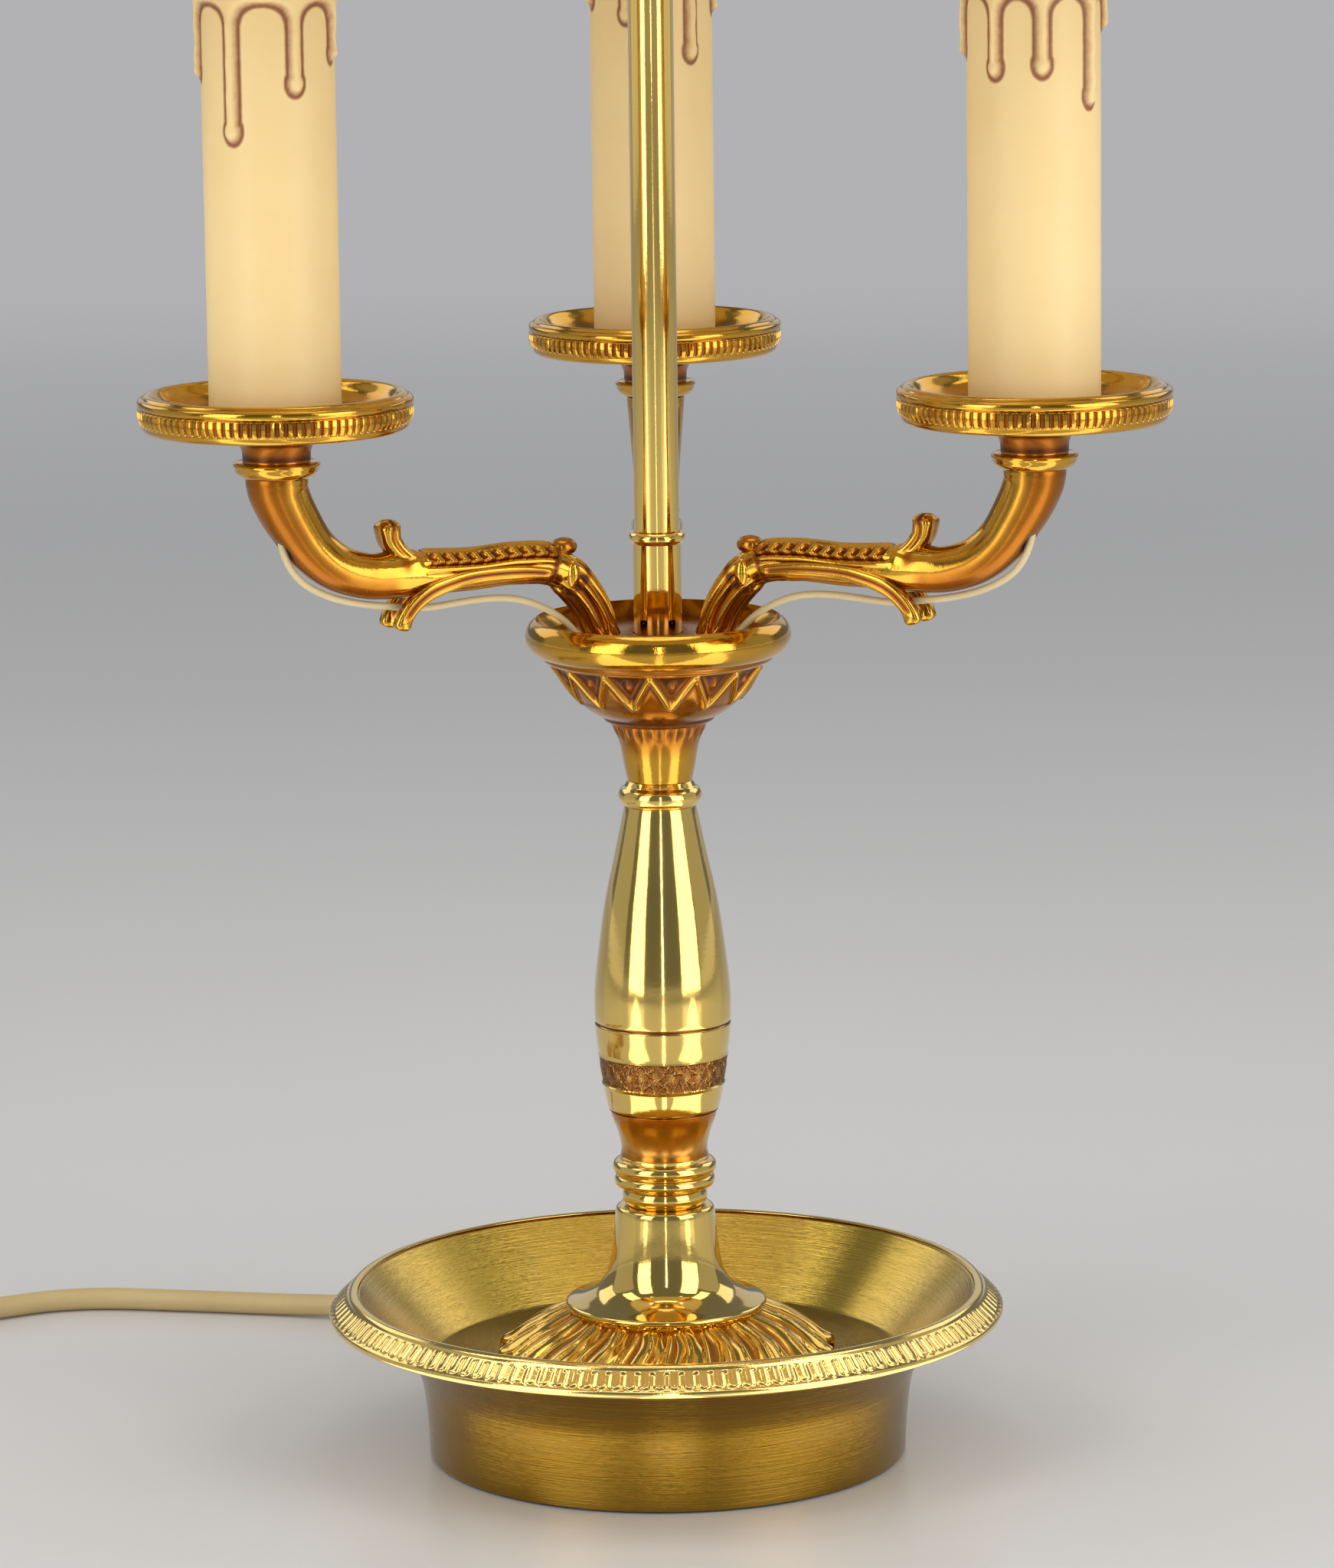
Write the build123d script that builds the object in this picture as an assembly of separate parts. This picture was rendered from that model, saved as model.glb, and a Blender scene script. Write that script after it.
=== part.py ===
from build123d import *

import os
from math import cos, pi, radians, sin, tan

# Bouillotte table lamp: a dished brass base, a turned column, three cast arms with candle
# sleeves, and a painted shade that slides and turns on a rod above the column.
# Frame: +Z up, the column's axis is Z, the underside of the felt pad is z = 0, -Y is the front.
# All lengths are millimetres and all angles are degrees.

# --- driving dimensions: base -------------------------------------------------------------
felt_radius = 49.5
felt_thickness = 1.2
drum_foot_radius = 51.2
drum_neck_radius = 52.6
drum_wall = 1.4
drum_top_z = 19.0
cove_radius = 59.5
cove_top_z = 27.25
ballast_radius = 46.0
ballast_top_z = 6.2
dish_floor_z = 20.2
dish_floor_radius = 51.0
dish_lip_radius = 66.0
dish_lip_z = 36.0
dish_sheet = 1.2
rim_radius = 73.0
rosette_radius = 36.5
rosette_lobes = 24

# --- driving dimensions: column (radius, height) ------------------------------------------
tube_radius = 4.5
tube_bore = 3.0
column_bore = 4.6
foot_flare_radius = 21.5
foot_bottom_z = 31.8
foot_top_z = 53.0
knop_bottom_z = 56.6
knop_top_z = 65.0
step_z = 75.0
vase_top_z = 141.0
cup_bottom_z = 146.4
saucer_z = 178.0
cup_rim_radius = 28.6
cup_top_z = 181.2
socket_radius = 5.1
socket_top_z = 199.5
rod_radius = 4.75
rod_top_z = 500.0

# --- driving dimensions: arms and candles -------------------------------------------------
arm_reach = 89.0
arm_azimuths = {"left": 210.0, "right": -30.0, "rear": 90.0}
horn_top_z = 217.6
pan_radius = 28.7
pan_floor_z = 231.0
pan_lip_z = 235.2
wire_radius = 0.9
sleeve_outer = 13.5
sleeve_inner = 12.1
sleeve_height = 100.0
bulb_radius = 17.5
bulb_tip_z = 398.0
cap_radius = 6.9
nipple_radius = 4.0
nipple_depth = 4.5

# --- driving dimensions: shade and its carrier --------------------------------------------
shade_bottom_radius = 160.0
shade_top_radius = 100.0
shade_bottom_z = 330.0
shade_top_z = 460.0
shade_sheet = 0.6
shade_bead = 1.6
running_gap = 0.05
carrier_bottom_z = 434.0
carrier_radius = 9.0
carrier_flange_z = 456.0
key_azimuth = 30.0
key_z = 444.0

# --- driving dimensions: mains cord -------------------------------------------------------
cord_radius = 2.5
cord_gap = 0.05
exit_azimuth = 112.0
exit_z = 10.0
relief_tip = 76.0
switch_heading = 215.0
switch_entry = (-197.7, 87.1, 7.5)
switch_length = 62.0
switch_half_width = 12.0
coil_centre = (-230.5, -4.0)
coil_turns_wide = 4
coil_layers = 2
coil_mean_radius = 30.0
plug_half_height = 7.0
plug_z = plug_half_height
plug_tip_y = -34.0

os.makedirs("parts", exist_ok=True)


def save(shape, node):
    """Writes one sub-part as its own STEP file."""
    shape.label = node
    export_step(shape, f"parts/{node}.step")


def at(radius, z):
    """A point of an outline in the XZ plane."""
    return Vector(radius, 0, z)


def straight(*points):
    """Straight runs through (radius, z) points."""
    return Polyline(*[at(*p) for p in points])


def smooth(*points):
    """One smooth curve through (radius, z) points."""
    return Spline(*[at(*p) for p in points])


def bead(start, end, bulge):
    """A round bead from start to end that stands out from their chord by bulge."""
    mid = (Vector(*start) + Vector(*end)) * 0.5
    along = (Vector(*end) - Vector(*start)).normalized()
    crown = Vector(mid.X + along.Y * bulge, mid.Y - along.X * bulge)
    return ThreePointArc(at(*start), at(crown.X, crown.Y), at(*end))


def turned(bore, *outside):
    """A turned piece: outside runs bottom to top, and the inside is a straight bore."""
    edges = [edge for curve in outside for edge in curve.edges()]
    low = outside[0] @ 0
    high = outside[-1] @ 1
    back = [high, at(bore, high.Z), at(bore, low.Z), low]
    corners = [back[0]]
    for corner in back[1:]:
        if (corner - corners[-1]).length > 1e-6:
            corners.append(corner)
    edges += Polyline(*corners).edges()
    return revolve(make_face(edges), Axis.Z)


def turned_loop(*curves):
    """A turned piece whose closed outline is given whole."""
    edges = [edge for curve in curves for edge in curve.edges()]
    return revolve(make_face(edges), Axis.Z)


def post(radius, low, high, x=0.0, y=0.0):
    """An upright cylinder from z = low to z = high."""
    return Pos(x, y, (low + high) / 2) * Cylinder(radius, high - low)


def ring(inner, outer, low, high):
    """A flat ring from z = low to z = high."""
    return post(outer, low, high) - post(inner, low - 1, high + 1)


def around(shape, azimuth):
    """The shape turned about the column's axis."""
    return Rot(0, 0, azimuth) * shape


def rod_between(start, end, radius):
    """A round bar from one point to another."""
    start, end = Vector(*start), Vector(*end)
    disc = Plane(origin=start, z_dir=end - start) * Circle(radius)
    return extrude(disc, amount=(end - start).length)


def heading(azimuth):
    """The unit vector over the table in one direction."""
    return Vector(cos(radians(azimuth)), sin(radians(azimuth)), 0)


# --- base ---------------------------------------------------------------------------------
relief_axis = heading(exit_azimuth)


def relief_bar(low, high, radius):
    """A bar along the cord's way out of the drum, from low to high out of the axis."""
    start = relief_axis * low + Vector(0, 0, exit_z)
    end = relief_axis * high + Vector(0, 0, exit_z)
    return rod_between(start, end, radius)


save(post(felt_radius, 0, felt_thickness), "felt_pad")

ballast = ring(column_bore, ballast_radius, felt_thickness, ballast_top_z)
ballast -= post(9.2, felt_thickness - 1, 4.6)
save(ballast, "ballast_plate")

# The drum's wall flares at its top into a cove that follows the dish's underside.
drum = turned_loop(
    smooth(
        (drum_foot_radius, 0.4),
        (drum_foot_radius + 0.4, 8.0),
        (drum_neck_radius, 16.0),
        (54.0, 19.8),
        (56.5, 23.6),
        (cove_radius, cove_top_z),
    ),
    straight(
        (cove_radius, cove_top_z),
        (dish_floor_radius + 0.65, drum_top_z),
        (drum_neck_radius - drum_wall, drum_top_z),
        (drum_foot_radius - drum_wall, 0.4),
        (drum_foot_radius, 0.4),
    ),
)
drum -= relief_bar(44, 60, 4.0)
save(drum, "base_drum")

wall_run = dish_lip_radius - dish_floor_radius
wall_rise = dish_lip_z - dish_floor_z
slant = (wall_run**2 + wall_rise**2) ** 0.5
out_r = dish_sheet * wall_rise / slant
out_z = dish_sheet * wall_run / slant
dish = turned(
    column_bore,
    straight(
        (dish_floor_radius - 4, dish_floor_z - dish_sheet),
        (dish_floor_radius + 0.6, dish_floor_z - dish_sheet),
        (dish_lip_radius + out_r, dish_lip_z - out_z),
        (dish_lip_radius, dish_lip_z),
        (dish_floor_radius, dish_floor_z),
        (dish_floor_radius - 4, dish_floor_z),
    ),
)
save(dish, "dish")

# The rim sits on the dish's edge: a rolled lip, a sloping band and a bead round its foot.
rim = turned_loop(
    straight(
        (dish_lip_radius + out_r + 0.1, dish_lip_z - out_z - 3.2),
        (dish_lip_radius + 4.6, 30.2),
    ),
    bead((dish_lip_radius + 4.6, 30.2), (rim_radius - 0.8, 31.9), 0.9),
    bead((rim_radius - 0.8, 31.9), (rim_radius - 4.6, 35.4), 0.7),
    bead((rim_radius - 4.6, 35.4), (dish_lip_radius + 0.1, dish_lip_z + 0.3), 0.6),
    straight(
        (dish_lip_radius + 0.1, dish_lip_z + 0.3),
        (dish_lip_radius + out_r + 0.1, dish_lip_z - out_z + 0.15),
        (dish_lip_radius + out_r + 0.1, dish_lip_z - out_z - 3.2),
    ),
)
save(rim, "rim_moulding")

nut = ring(tube_radius + 0.02, 8.2, felt_thickness + 0.4, 4.4)
save(nut, "base_nut")

relief = relief_bar(drum_foot_radius - 4.5, drum_foot_radius - 1.2, 5.4) + relief_bar(
    drum_foot_radius - 1.2, drum_neck_radius + 0.3, 3.9
)
relief_start = relief_axis * (drum_neck_radius - 0.1) + Vector(0, 0, exit_z)
relief_end = relief_axis * relief_tip + Vector(0, 0, exit_z)
relief += loft(
    [
        Plane(origin=relief_start, z_dir=relief_axis) * Circle(4.9),
        Plane(origin=relief_end, z_dir=relief_axis) * Circle(3.3),
    ]
)
relief -= relief_bar(40, relief_tip + 5, cord_radius + cord_gap)
save(relief, "strain_relief")

block = Box(20, 12, 8)
block_place = relief_axis * 31.9 + Vector(0, 0, ballast_top_z + 4.05)
save(Pos(*block_place) * Rot(0, 0, exit_azimuth - 90) * block, "terminal_block")

# --- leaf rosette and foot ----------------------------------------------------------------
rosette = turned(
    column_bore,
    straight((rosette_radius - 1.6, dish_floor_z), (rosette_radius, dish_floor_z + 1.0)),
    smooth(
        (rosette_radius, dish_floor_z + 1.0),
        (rosette_radius - 2.0, dish_floor_z + 3.8),
        (rosette_radius - 7.7, dish_floor_z + 7.9),
        (foot_flare_radius - 0.5, foot_bottom_z - 0.05),
    ),
)
for lobe in range(rosette_lobes):
    turn = 360 / rosette_lobes * (lobe + 0.5)
    rosette -= around(post(1.3, dish_floor_z - 1, foot_bottom_z + 1, x=rosette_radius + 0.5), turn)
save(rosette, "leaf_rosette")

foot = turned(
    column_bore,
    bead((foot_flare_radius - 0.8, foot_bottom_z), (foot_flare_radius - 0.6, foot_bottom_z + 1.6), 0.75),
    smooth(
        (foot_flare_radius - 0.6, foot_bottom_z + 1.6),
        (17.4, 34.4),
        (13.6, 36.1),
        (11.3, 38.6),
        (10.2, 42.2),
        (9.8, 47.0),
        (9.8, foot_top_z),
    ),
)
save(foot, "foot")

foot_ring = turned(column_bore, bead((8.0, foot_top_z), (8.0, knop_bottom_z), 1.0))
save(foot_ring, "foot_ring")

knop = turned(
    column_bore,
    bead((9.2, knop_bottom_z), (9.9, 60.0), 1.6),
    bead((9.9, 60.0), (9.5, 63.4), 1.5),
    straight((9.5, 63.4), (9.6, knop_top_z)),
)
save(knop, "double_knop")

# --- vase ---------------------------------------------------------------------------------
vase_cup = turned(
    column_bore,
    smooth((9.4, knop_top_z), (9.2, 66.9), (9.9, 70.2), (11.0, 73.2), (11.5, step_z)),
)
save(vase_cup, "vase_cup")

frieze_low_z = 81.0
frieze_high_z = 87.2
line_z = 94.3
line_depth = 0.35
vase = turned(
    column_bore,
    smooth((11.8, step_z), (12.4, 77.6), (13.0, frieze_low_z)),
    smooth((13.0, frieze_low_z), (13.5, 84.1), (13.9, frieze_high_z)),
    smooth((13.9, frieze_high_z), (14.3, 90.4), (14.6, line_z - 0.35)),
    straight((14.6, line_z - 0.35), (14.6 - line_depth, line_z), (14.6, line_z + 0.35)),
    smooth(
        (14.6, line_z + 0.35),
        (14.55, 101.0),
        (13.7, 109.0),
        (12.1, 120.0),
        (9.9, 130.2),
        (7.6, vase_top_z),
    ),
)
save(vase, "vase")

collar = turned(
    column_bore,
    bead((7.6, vase_top_z), (7.6, 145.2), 1.3),
    straight((7.6, 145.2), (6.9, cup_bottom_z)),
)
save(collar, "vase_collar")

# --- cup that carries the arms, and the rod's socket --------------------------------------
cup = turned(
    column_bore,
    smooth((6.9, cup_bottom_z), (7.6, 149.8), (8.5, 154.6), (10.1, 158.8)),
    straight((10.1, 158.8), (11.8, 159.7)),
    smooth((11.8, 159.7), (15.4, 162.2), (18.9, 165.9), (21.6, 170.1), (24.6, 173.6)),
    straight((24.6, 173.6), (25.6, 174.4)),
    bead((25.6, 174.4), (25.9, cup_top_z), cup_rim_radius - 25.75),
    straight(
        (25.9, cup_top_z),
        (24.2, saucer_z + 0.1),
        (23.4, saucer_z - 2.1),
        (20.4, 170.4),
        (14.0, 163.4),
        (column_bore, 163.4),
    ),
)
save(cup, "arm_cup")


def arm_point(azimuth, radius, z=0.0):
    """A point over the table at one arm's azimuth."""
    return heading(azimuth) * radius + Vector(0, 0, z)


wire_hole_radius = 20.0
screw_radius = 1.5
screw_place = 14.0
cover = turned(socket_radius + 0.1, straight((23.2, saucer_z - 2.0), (24.0, saucer_z)))
for azimuth in arm_azimuths.values():
    hole = arm_point(azimuth, wire_hole_radius)
    cover -= post(1.8, saucer_z - 5, saucer_z + 1, x=hole.X, y=hole.Y)
    hole = arm_point(azimuth, screw_place)
    cover -= post(screw_radius + 0.1, saucer_z - 5, saucer_z + 1, x=hole.X, y=hole.Y)
save(cover, "cup_cover")

socket_bottom_z = 170.0
spigot_radius = 3.3
spigot_bottom_z = 186.0
socket = turned(
    spigot_radius + running_gap,
    straight((socket_radius, socket_bottom_z), (socket_radius, 197.0)),
    bead((socket_radius, 197.0), (socket_radius + 0.2, socket_top_z), 0.8),
)
save(socket, "rod_socket")

centre_tube = ring(tube_bore, tube_radius, felt_thickness + 0.6, socket_bottom_z - 0.2)
save(centre_tube, "centre_tube")

stud_radius = 3.0
rod = post(rod_radius, socket_top_z, rod_top_z)
rod += post(spigot_radius, spigot_bottom_z, socket_top_z + 0.5)
rod += post(stud_radius, rod_top_z - 0.5, rod_top_z + 12)
rod -= post(2.2, spigot_bottom_z - 1, rod_top_z - 10)
save(rod, "rod")

# --- arms ---------------------------------------------------------------------------------
# The wire runs under the arm and enters the horn at its elbow.
wire_points = [
    (10.0, 171.0),
    (19.0, 173.5),
    (21.6, 181.0),
    (27.4, 184.9),
    (37.0, 188.5),
    (47.5, 188.2),
    (56.5, 187.2),
    (66.0, 188.6),
    (77.6, 191.5),
    (85.7, 197.0),
    (arm_reach, 203.6),
    (arm_reach, 222.0),
    (arm_reach + 0.2, 240.0),
]

# Each station of a casting: distance out, height, half its width, half its depth.
arm_stations = [
    (13.2, 178.0, 4.3, 3.6),
    (17.4, 186.8, 4.2, 3.7),
    (24.5, 193.8, 4.2, 4.2),
    (34.0, 195.2, 4.3, 4.6),
    (45.0, 194.9, 4.4, 4.6),
    (55.0, 195.2, 4.8, 4.8),
    (62.5, 195.4, 4.9, 4.9),
    (69.0, 195.8, 4.8, 4.8),
    (76.0, 198.2, 4.9, 4.9),
    (81.6, 202.7, 5.2, 5.2),
    (86.3, 209.6, 5.8, 5.8),
    (arm_reach, horn_top_z, 6.4, 6.4),
]


def station_plane(index):
    """The plane across the casting at one station; its local x is across the arm."""
    out, height = arm_stations[index][:2]
    before = arm_stations[max(index - 1, 0)]
    after = arm_stations[min(index + 1, len(arm_stations) - 1)]
    along = Vector(after[0] - before[0], 0, after[1] - before[1])
    if index == len(arm_stations) - 1:
        along = Vector(0, 0, 1)
    if index == 0:
        along = Vector(0.35, 0, 1)
    return Plane(origin=(out, 0, height), x_dir=(0, 1, 0), z_dir=along)


def strip(points, thickness, low, high):
    """A strip that follows points in the arm's plane, between two distances across the arm."""
    outline = trace(Spline(*[Vector(*p) for p in points]), line_width=thickness)
    flat = Plane.XZ * outline
    return Pos(0, high, 0) * extrude(flat, amount=high - low)


def arm_casting():
    """One arm, along +X: a root, a scaled middle, a curled leaf, strap leaves and a horn."""
    sections = []
    for index, station in enumerate(arm_stations):
        sections.append(station_plane(index) * Ellipse(station[2], station[3]))
    body = loft(sections)
    body += Pos(24.2, 0, 198.6) * Sphere(2.7)
    curl = [(56.0, 198.2), (60.0, 201.6), (62.6, 205.2), (61.8, 207.2)]
    body += strip(curl, 3.4, -3.3, 3.3)
    strap = [(48.0, 194.2), (56.6, 192.6), (61.4, 189.4), (63.6, 185.6), (66.2, 186.8)]
    for low, high in ((2.8, 6.2), (-6.2, -2.8)):
        body += strip(strap, 2.4, low, high)
    body -= post(1.8, 202.4, horn_top_z + 1, x=arm_reach)
    body -= post(nipple_radius + running_gap, horn_top_z - nipple_depth, horn_top_z + 1, x=arm_reach)
    body -= rod_between((wire_points[9][0], 0, wire_points[9][1]), (arm_reach, 0, wire_points[10][1]), 1.7)
    body -= Pos(13.2, 0, saucer_z - 10) * Box(40, 20, 20)
    body -= post(screw_radius - 0.05, saucer_z - 1, saucer_z + 6, x=screw_place)
    return body


def corner_radii(points):
    """The radius of each corner: 0.45 of its shorter run over the tangent of half the turn."""
    radii = []
    for before, corner, after in zip(points, points[1:], points[2:]):
        arriving = Vector(*corner) - Vector(*before)
        leaving = Vector(*after) - Vector(*corner)
        turn = arriving.get_angle(leaving)
        run = min(arriving.length, leaving.length)
        radii.append(0.45 * run / tan(radians(turn / 2)))
    return radii


def cord_tube(points, radius, name):
    """A tube along straight runs joined by tangent arcs; prints its radii and its length."""
    radii = corner_radii(points)
    if radii:
        path = FilletPolyline(*[Vector(*p) for p in points], radius=radii)
    else:
        path = Line(Vector(*points[0]), Vector(*points[1]))
    disc = Plane(origin=path @ 0, z_dir=path % 0) * Circle(radius)
    tube = sweep(disc, path=path)
    expected = pi * radius**2 * path.length
    shown = ", ".join(f"{r:.0f}" for r in radii)
    print(f"{name}: length {path.length:.1f}, radii [{shown}], volume ratio {tube.volume / expected:.4f}")
    return tube


casting = arm_casting()
arm_wire = cord_tube([(out, 0, z) for out, z in wire_points], wire_radius, "arm wire")
for name, azimuth in arm_azimuths.items():
    save(around(casting, azimuth), f"{name}_arm")
    save(around(arm_wire, azimuth), f"{name}_arm_wire")

screws = []
for azimuth in arm_azimuths.values():
    place = arm_point(azimuth, screw_place)
    screw = post(screw_radius - 0.1, saucer_z - 2.2, saucer_z + 5.6, x=place.X, y=place.Y)
    screws.append(screw + post(2.6, saucer_z - 3.8, saucer_z - 2.05, x=place.X, y=place.Y))
save(Compound(children=screws), "arm_screws")

# --- collars, pans, lampholders, sleeves and bulbs ----------------------------------------
pan_collar = turned(
    nipple_radius + 0.1,
    straight((6.5, horn_top_z), (7.9, horn_top_z + 0.2)),
    bead((7.9, horn_top_z + 0.2), (7.8, 220.7), 1.05),
    straight((7.8, 220.7), (6.2, 221.0)),
    smooth((6.2, 221.0), (6.4, 223.3), (9.3, 225.6)),
)

drip_pan = turned(
    nipple_radius + 0.1,
    smooth((9.3, 225.6), (15.0, 226.4), (21.5, 227.4), (26.2, 228.6)),
    bead((26.2, 228.6), (27.6, 229.8), 0.5),
    bead((27.6, 229.8), (27.4, 233.2), pan_radius - 27.5),
    bead((27.4, 233.2), (26.9, 234.6), 0.4),
    bead((26.9, 234.6), (24.9, 234.4), pan_lip_z - 234.5),
    smooth((24.9, 234.4), (23.6, 232.4), (22.0, pan_floor_z)),
)

sleeve_top_z = pan_floor_z + sleeve_height
socket_base_z = 276.0
holder = post(nipple_radius, horn_top_z - nipple_depth, socket_base_z + 2)
holder += post(11.6, socket_base_z, sleeve_top_z - 3)
holder -= post(cap_radius + 0.25, 303.0, sleeve_top_z)
holder -= post(2.8, horn_top_z - 8, 268.0)

sleeve = ring(sleeve_inner, sleeve_outer, pan_floor_z, sleeve_top_z)

glass_bottom_z = 331.5
glass_shape = [(11.6, glass_bottom_z), (15.4, 341.0), (bulb_radius, 356.0), (13.4, 374.0), (5.6, 388.0)]


def bulb_envelope(inset):
    """The candle bulb's outline, moved in by the glass's thickness."""
    points = [(r - inset, z) for r, z in glass_shape[1:]]
    low = (glass_shape[0][0] - inset, glass_bottom_z + inset)
    tip = (0.0, bulb_tip_z - inset)
    neck = (1.9 - inset / 2, bulb_tip_z - 2.4 - inset)
    return turned(0.0, smooth(low, *points, neck), straight(neck, tip))


glass = bulb_envelope(0) - bulb_envelope(0.7)
cap = turned(
    0.0,
    straight((3.0, 304.0), (4.0, 306.0), (cap_radius, 309.0), (cap_radius, 328.5), (9.8, glass_bottom_z)),
)

caps = []
for name, azimuth in arm_azimuths.items():
    place = Pos(*arm_point(azimuth, arm_reach))
    save(place * pan_collar, f"{name}_pan_collar")
    save(place * drip_pan, f"{name}_drip_pan")
    save(place * holder, f"{name}_lampholder")
    save(place * sleeve, f"{name}_candle_sleeve")
    save(place * glass, f"{name}_bulb_glass")
    caps.append(place * cap)
save(Compound(children=caps), "bulb_caps")

# --- shade --------------------------------------------------------------------------------
shade = turned_loop(
    straight(
        (shade_bottom_radius, shade_bottom_z),
        (shade_top_radius, shade_top_z),
        (shade_top_radius - shade_sheet, shade_top_z),
        (shade_bottom_radius - shade_sheet, shade_bottom_z),
        (shade_bottom_radius, shade_bottom_z),
    )
)
# The sheet is two half shells, front and back, that meet at a seam on each side.
front_half = Pos(0, -shade_bottom_radius, shade_bottom_z) * Box(
    3 * shade_bottom_radius, 2 * shade_bottom_radius, 300
)
save(shade & front_half, "shade_front")
save(shade - front_half, "shade_back")


def edge_ring(radius, z):
    """The wire that the shade's sheet is rolled round."""
    return Pos(0, 0, z) * Torus(radius, shade_bead)


sheet_middle = shade_sheet / 2
bead_middle_z = shade_bead - 0.1
save(edge_ring(shade_bottom_radius - sheet_middle, shade_bottom_z - bead_middle_z), "shade_bottom_ring")
save(edge_ring(shade_top_radius - sheet_middle, shade_top_z + bead_middle_z), "shade_top_ring")

spider_bore = 7.9
spider_outer = 13.0
spider_z = carrier_flange_z + 0.05
spider_reach = shade_top_radius - sheet_middle - shade_bead + 0.3
spider = ring(spider_bore, spider_outer, spider_z, spider_z + 2.6)
for azimuth in arm_azimuths.values():
    inner = arm_point(azimuth, spider_outer - 1.5, spider_z + 1.3)
    outer = arm_point(azimuth, spider_reach, shade_top_z + bead_middle_z)
    spider += rod_between(inner, outer, 1.3)
save(spider, "shade_spider")

# --- carrier, clamp key and finial --------------------------------------------------------
carrier = turned(
    rod_radius + running_gap,
    straight((7.0, carrier_bottom_z), (7.8, carrier_bottom_z + 1)),
    bead((7.8, carrier_bottom_z + 1), (7.8, 438.4), 1.2),
    straight((7.8, 438.4), (carrier_radius, 439.4), (carrier_radius, 449.0), (7.8, 450.0), (7.8, 452.4)),
    smooth((7.8, 452.4), (9.4, 453.2), (12.4, 454.6)),
    straight((12.4, 454.6), (12.4, carrier_flange_z), (7.6, carrier_flange_z), (7.6, 461.0), (6.6, 462.4)),
)
shank_radius = 2.0
key_inner = rod_radius + 0.1


def key_bar(low, high, radius):
    """A bar along the key's axis, from low to high out of the column's axis."""
    start = arm_point(key_azimuth, low, key_z)
    end = arm_point(key_azimuth, high, key_z)
    return rod_between(start, end, radius)


carrier += key_bar(7.5, 11.5, 3.6)
carrier -= post(rod_radius + running_gap, carrier_bottom_z - 1, 463)
carrier -= key_bar(0, 14, shank_radius + running_gap)
save(carrier, "shade_carrier")

wing_face = arm_point(key_azimuth, 21.5, key_z)
wing_plane = Plane(origin=wing_face, x_dir=(0, 0, 1), z_dir=heading(key_azimuth + 90))
wing_lobe = SlotCenterToCenter(7.0, 8.0) - Circle(1.5)
wing = extrude(wing_plane * wing_lobe, amount=1.2, both=True)
key = key_bar(key_inner, 16.5, shank_radius) + key_bar(12.2, 18.5, 3.2) + wing
save(key, "shade_key")

finial_bottom_z = rod_top_z + 0.1
finial = turned(
    0.0,
    straight((5.6, finial_bottom_z), (7.0, finial_bottom_z + 0.6)),
    bead((7.0, finial_bottom_z + 0.6), (6.2, 504.2), 1.2),
    smooth((6.2, 504.2), (3.4, 506.4), (3.2, 508.6)),
    bead((3.2, 508.6), (3.2, 511.4), 1.6),
    smooth((3.2, 511.4), (6.4, 513.6), (9.2, 519.4), (8.6, 526.4), (4.6, 533.4), (2.4, 538.2)),
    smooth((2.4, 538.2), (1.9, 541.0), (0.9, 543.2), (0.0, 543.8)),
)
finial -= post(stud_radius + running_gap, rod_top_z - 1, rod_top_z + 12.4)
save(finial, "finial")

# --- mains cord ---------------------------------------------------------------------------
cord_start = relief_axis * 38.0 + Vector(0, 0, exit_z)
lead_points = [
    tuple(cord_start),
    (-34.6, 85.7, exit_z),
    (-53.0, 104.0, 4.9),
    (-80.0, 114.5, cord_radius),
    (-110.0, 120.5, cord_radius),
    (-139.0, 125.5, cord_radius),
    (-160.0, 113.5, cord_radius),
    (-178.4, 101.2, 4.8),
    switch_entry,
]
switch_axis = heading(switch_heading)
entry = Vector(*switch_entry)
switch_exit = entry + switch_axis * switch_length
nozzle = 6.0
lead_points.append(tuple(entry + switch_axis * (nozzle + 8)))
save(cord_tube(lead_points, cord_radius, "cord lead"), "cord_lead")

coil_width = coil_turns_wide * 2 * cord_radius
coil_height = coil_layers * 2 * cord_radius
outer_turn = coil_mean_radius + coil_width / 2 - cord_radius
coil_left = coil_centre[0] - outer_turn
bend_points = [
    tuple(switch_exit - switch_axis * (nozzle + 8)),
    tuple(switch_exit + switch_axis * 10),
    (coil_left + 2.3, 27.5, 4.2),
    (coil_left + 0.2, 8.0, cord_radius),
    (coil_left + 0.6, coil_centre[1] - 2, cord_radius),
]
save(cord_tube(bend_points, cord_radius, "cord bend"), "cord_bend")

coil = ring(coil_mean_radius - coil_width / 2, coil_mean_radius + coil_width / 2, 0, coil_height)
coil = chamfer(coil.edges().filter_by(GeomType.CIRCLE), 1.2)
save(Pos(coil_centre[0], coil_centre[1], 0) * coil, "cord_coil")

relief_length = 20.0
tail_points = [
    (coil_left + 0.6, coil_centre[1], 3 * cord_radius),
    (coil_left - 0.2, coil_centre[1] - 18.0, plug_z),
    (coil_left, plug_tip_y - 8, plug_z),
]
save(cord_tube(tail_points, cord_radius, "cord tail"), "cord_tail")

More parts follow.
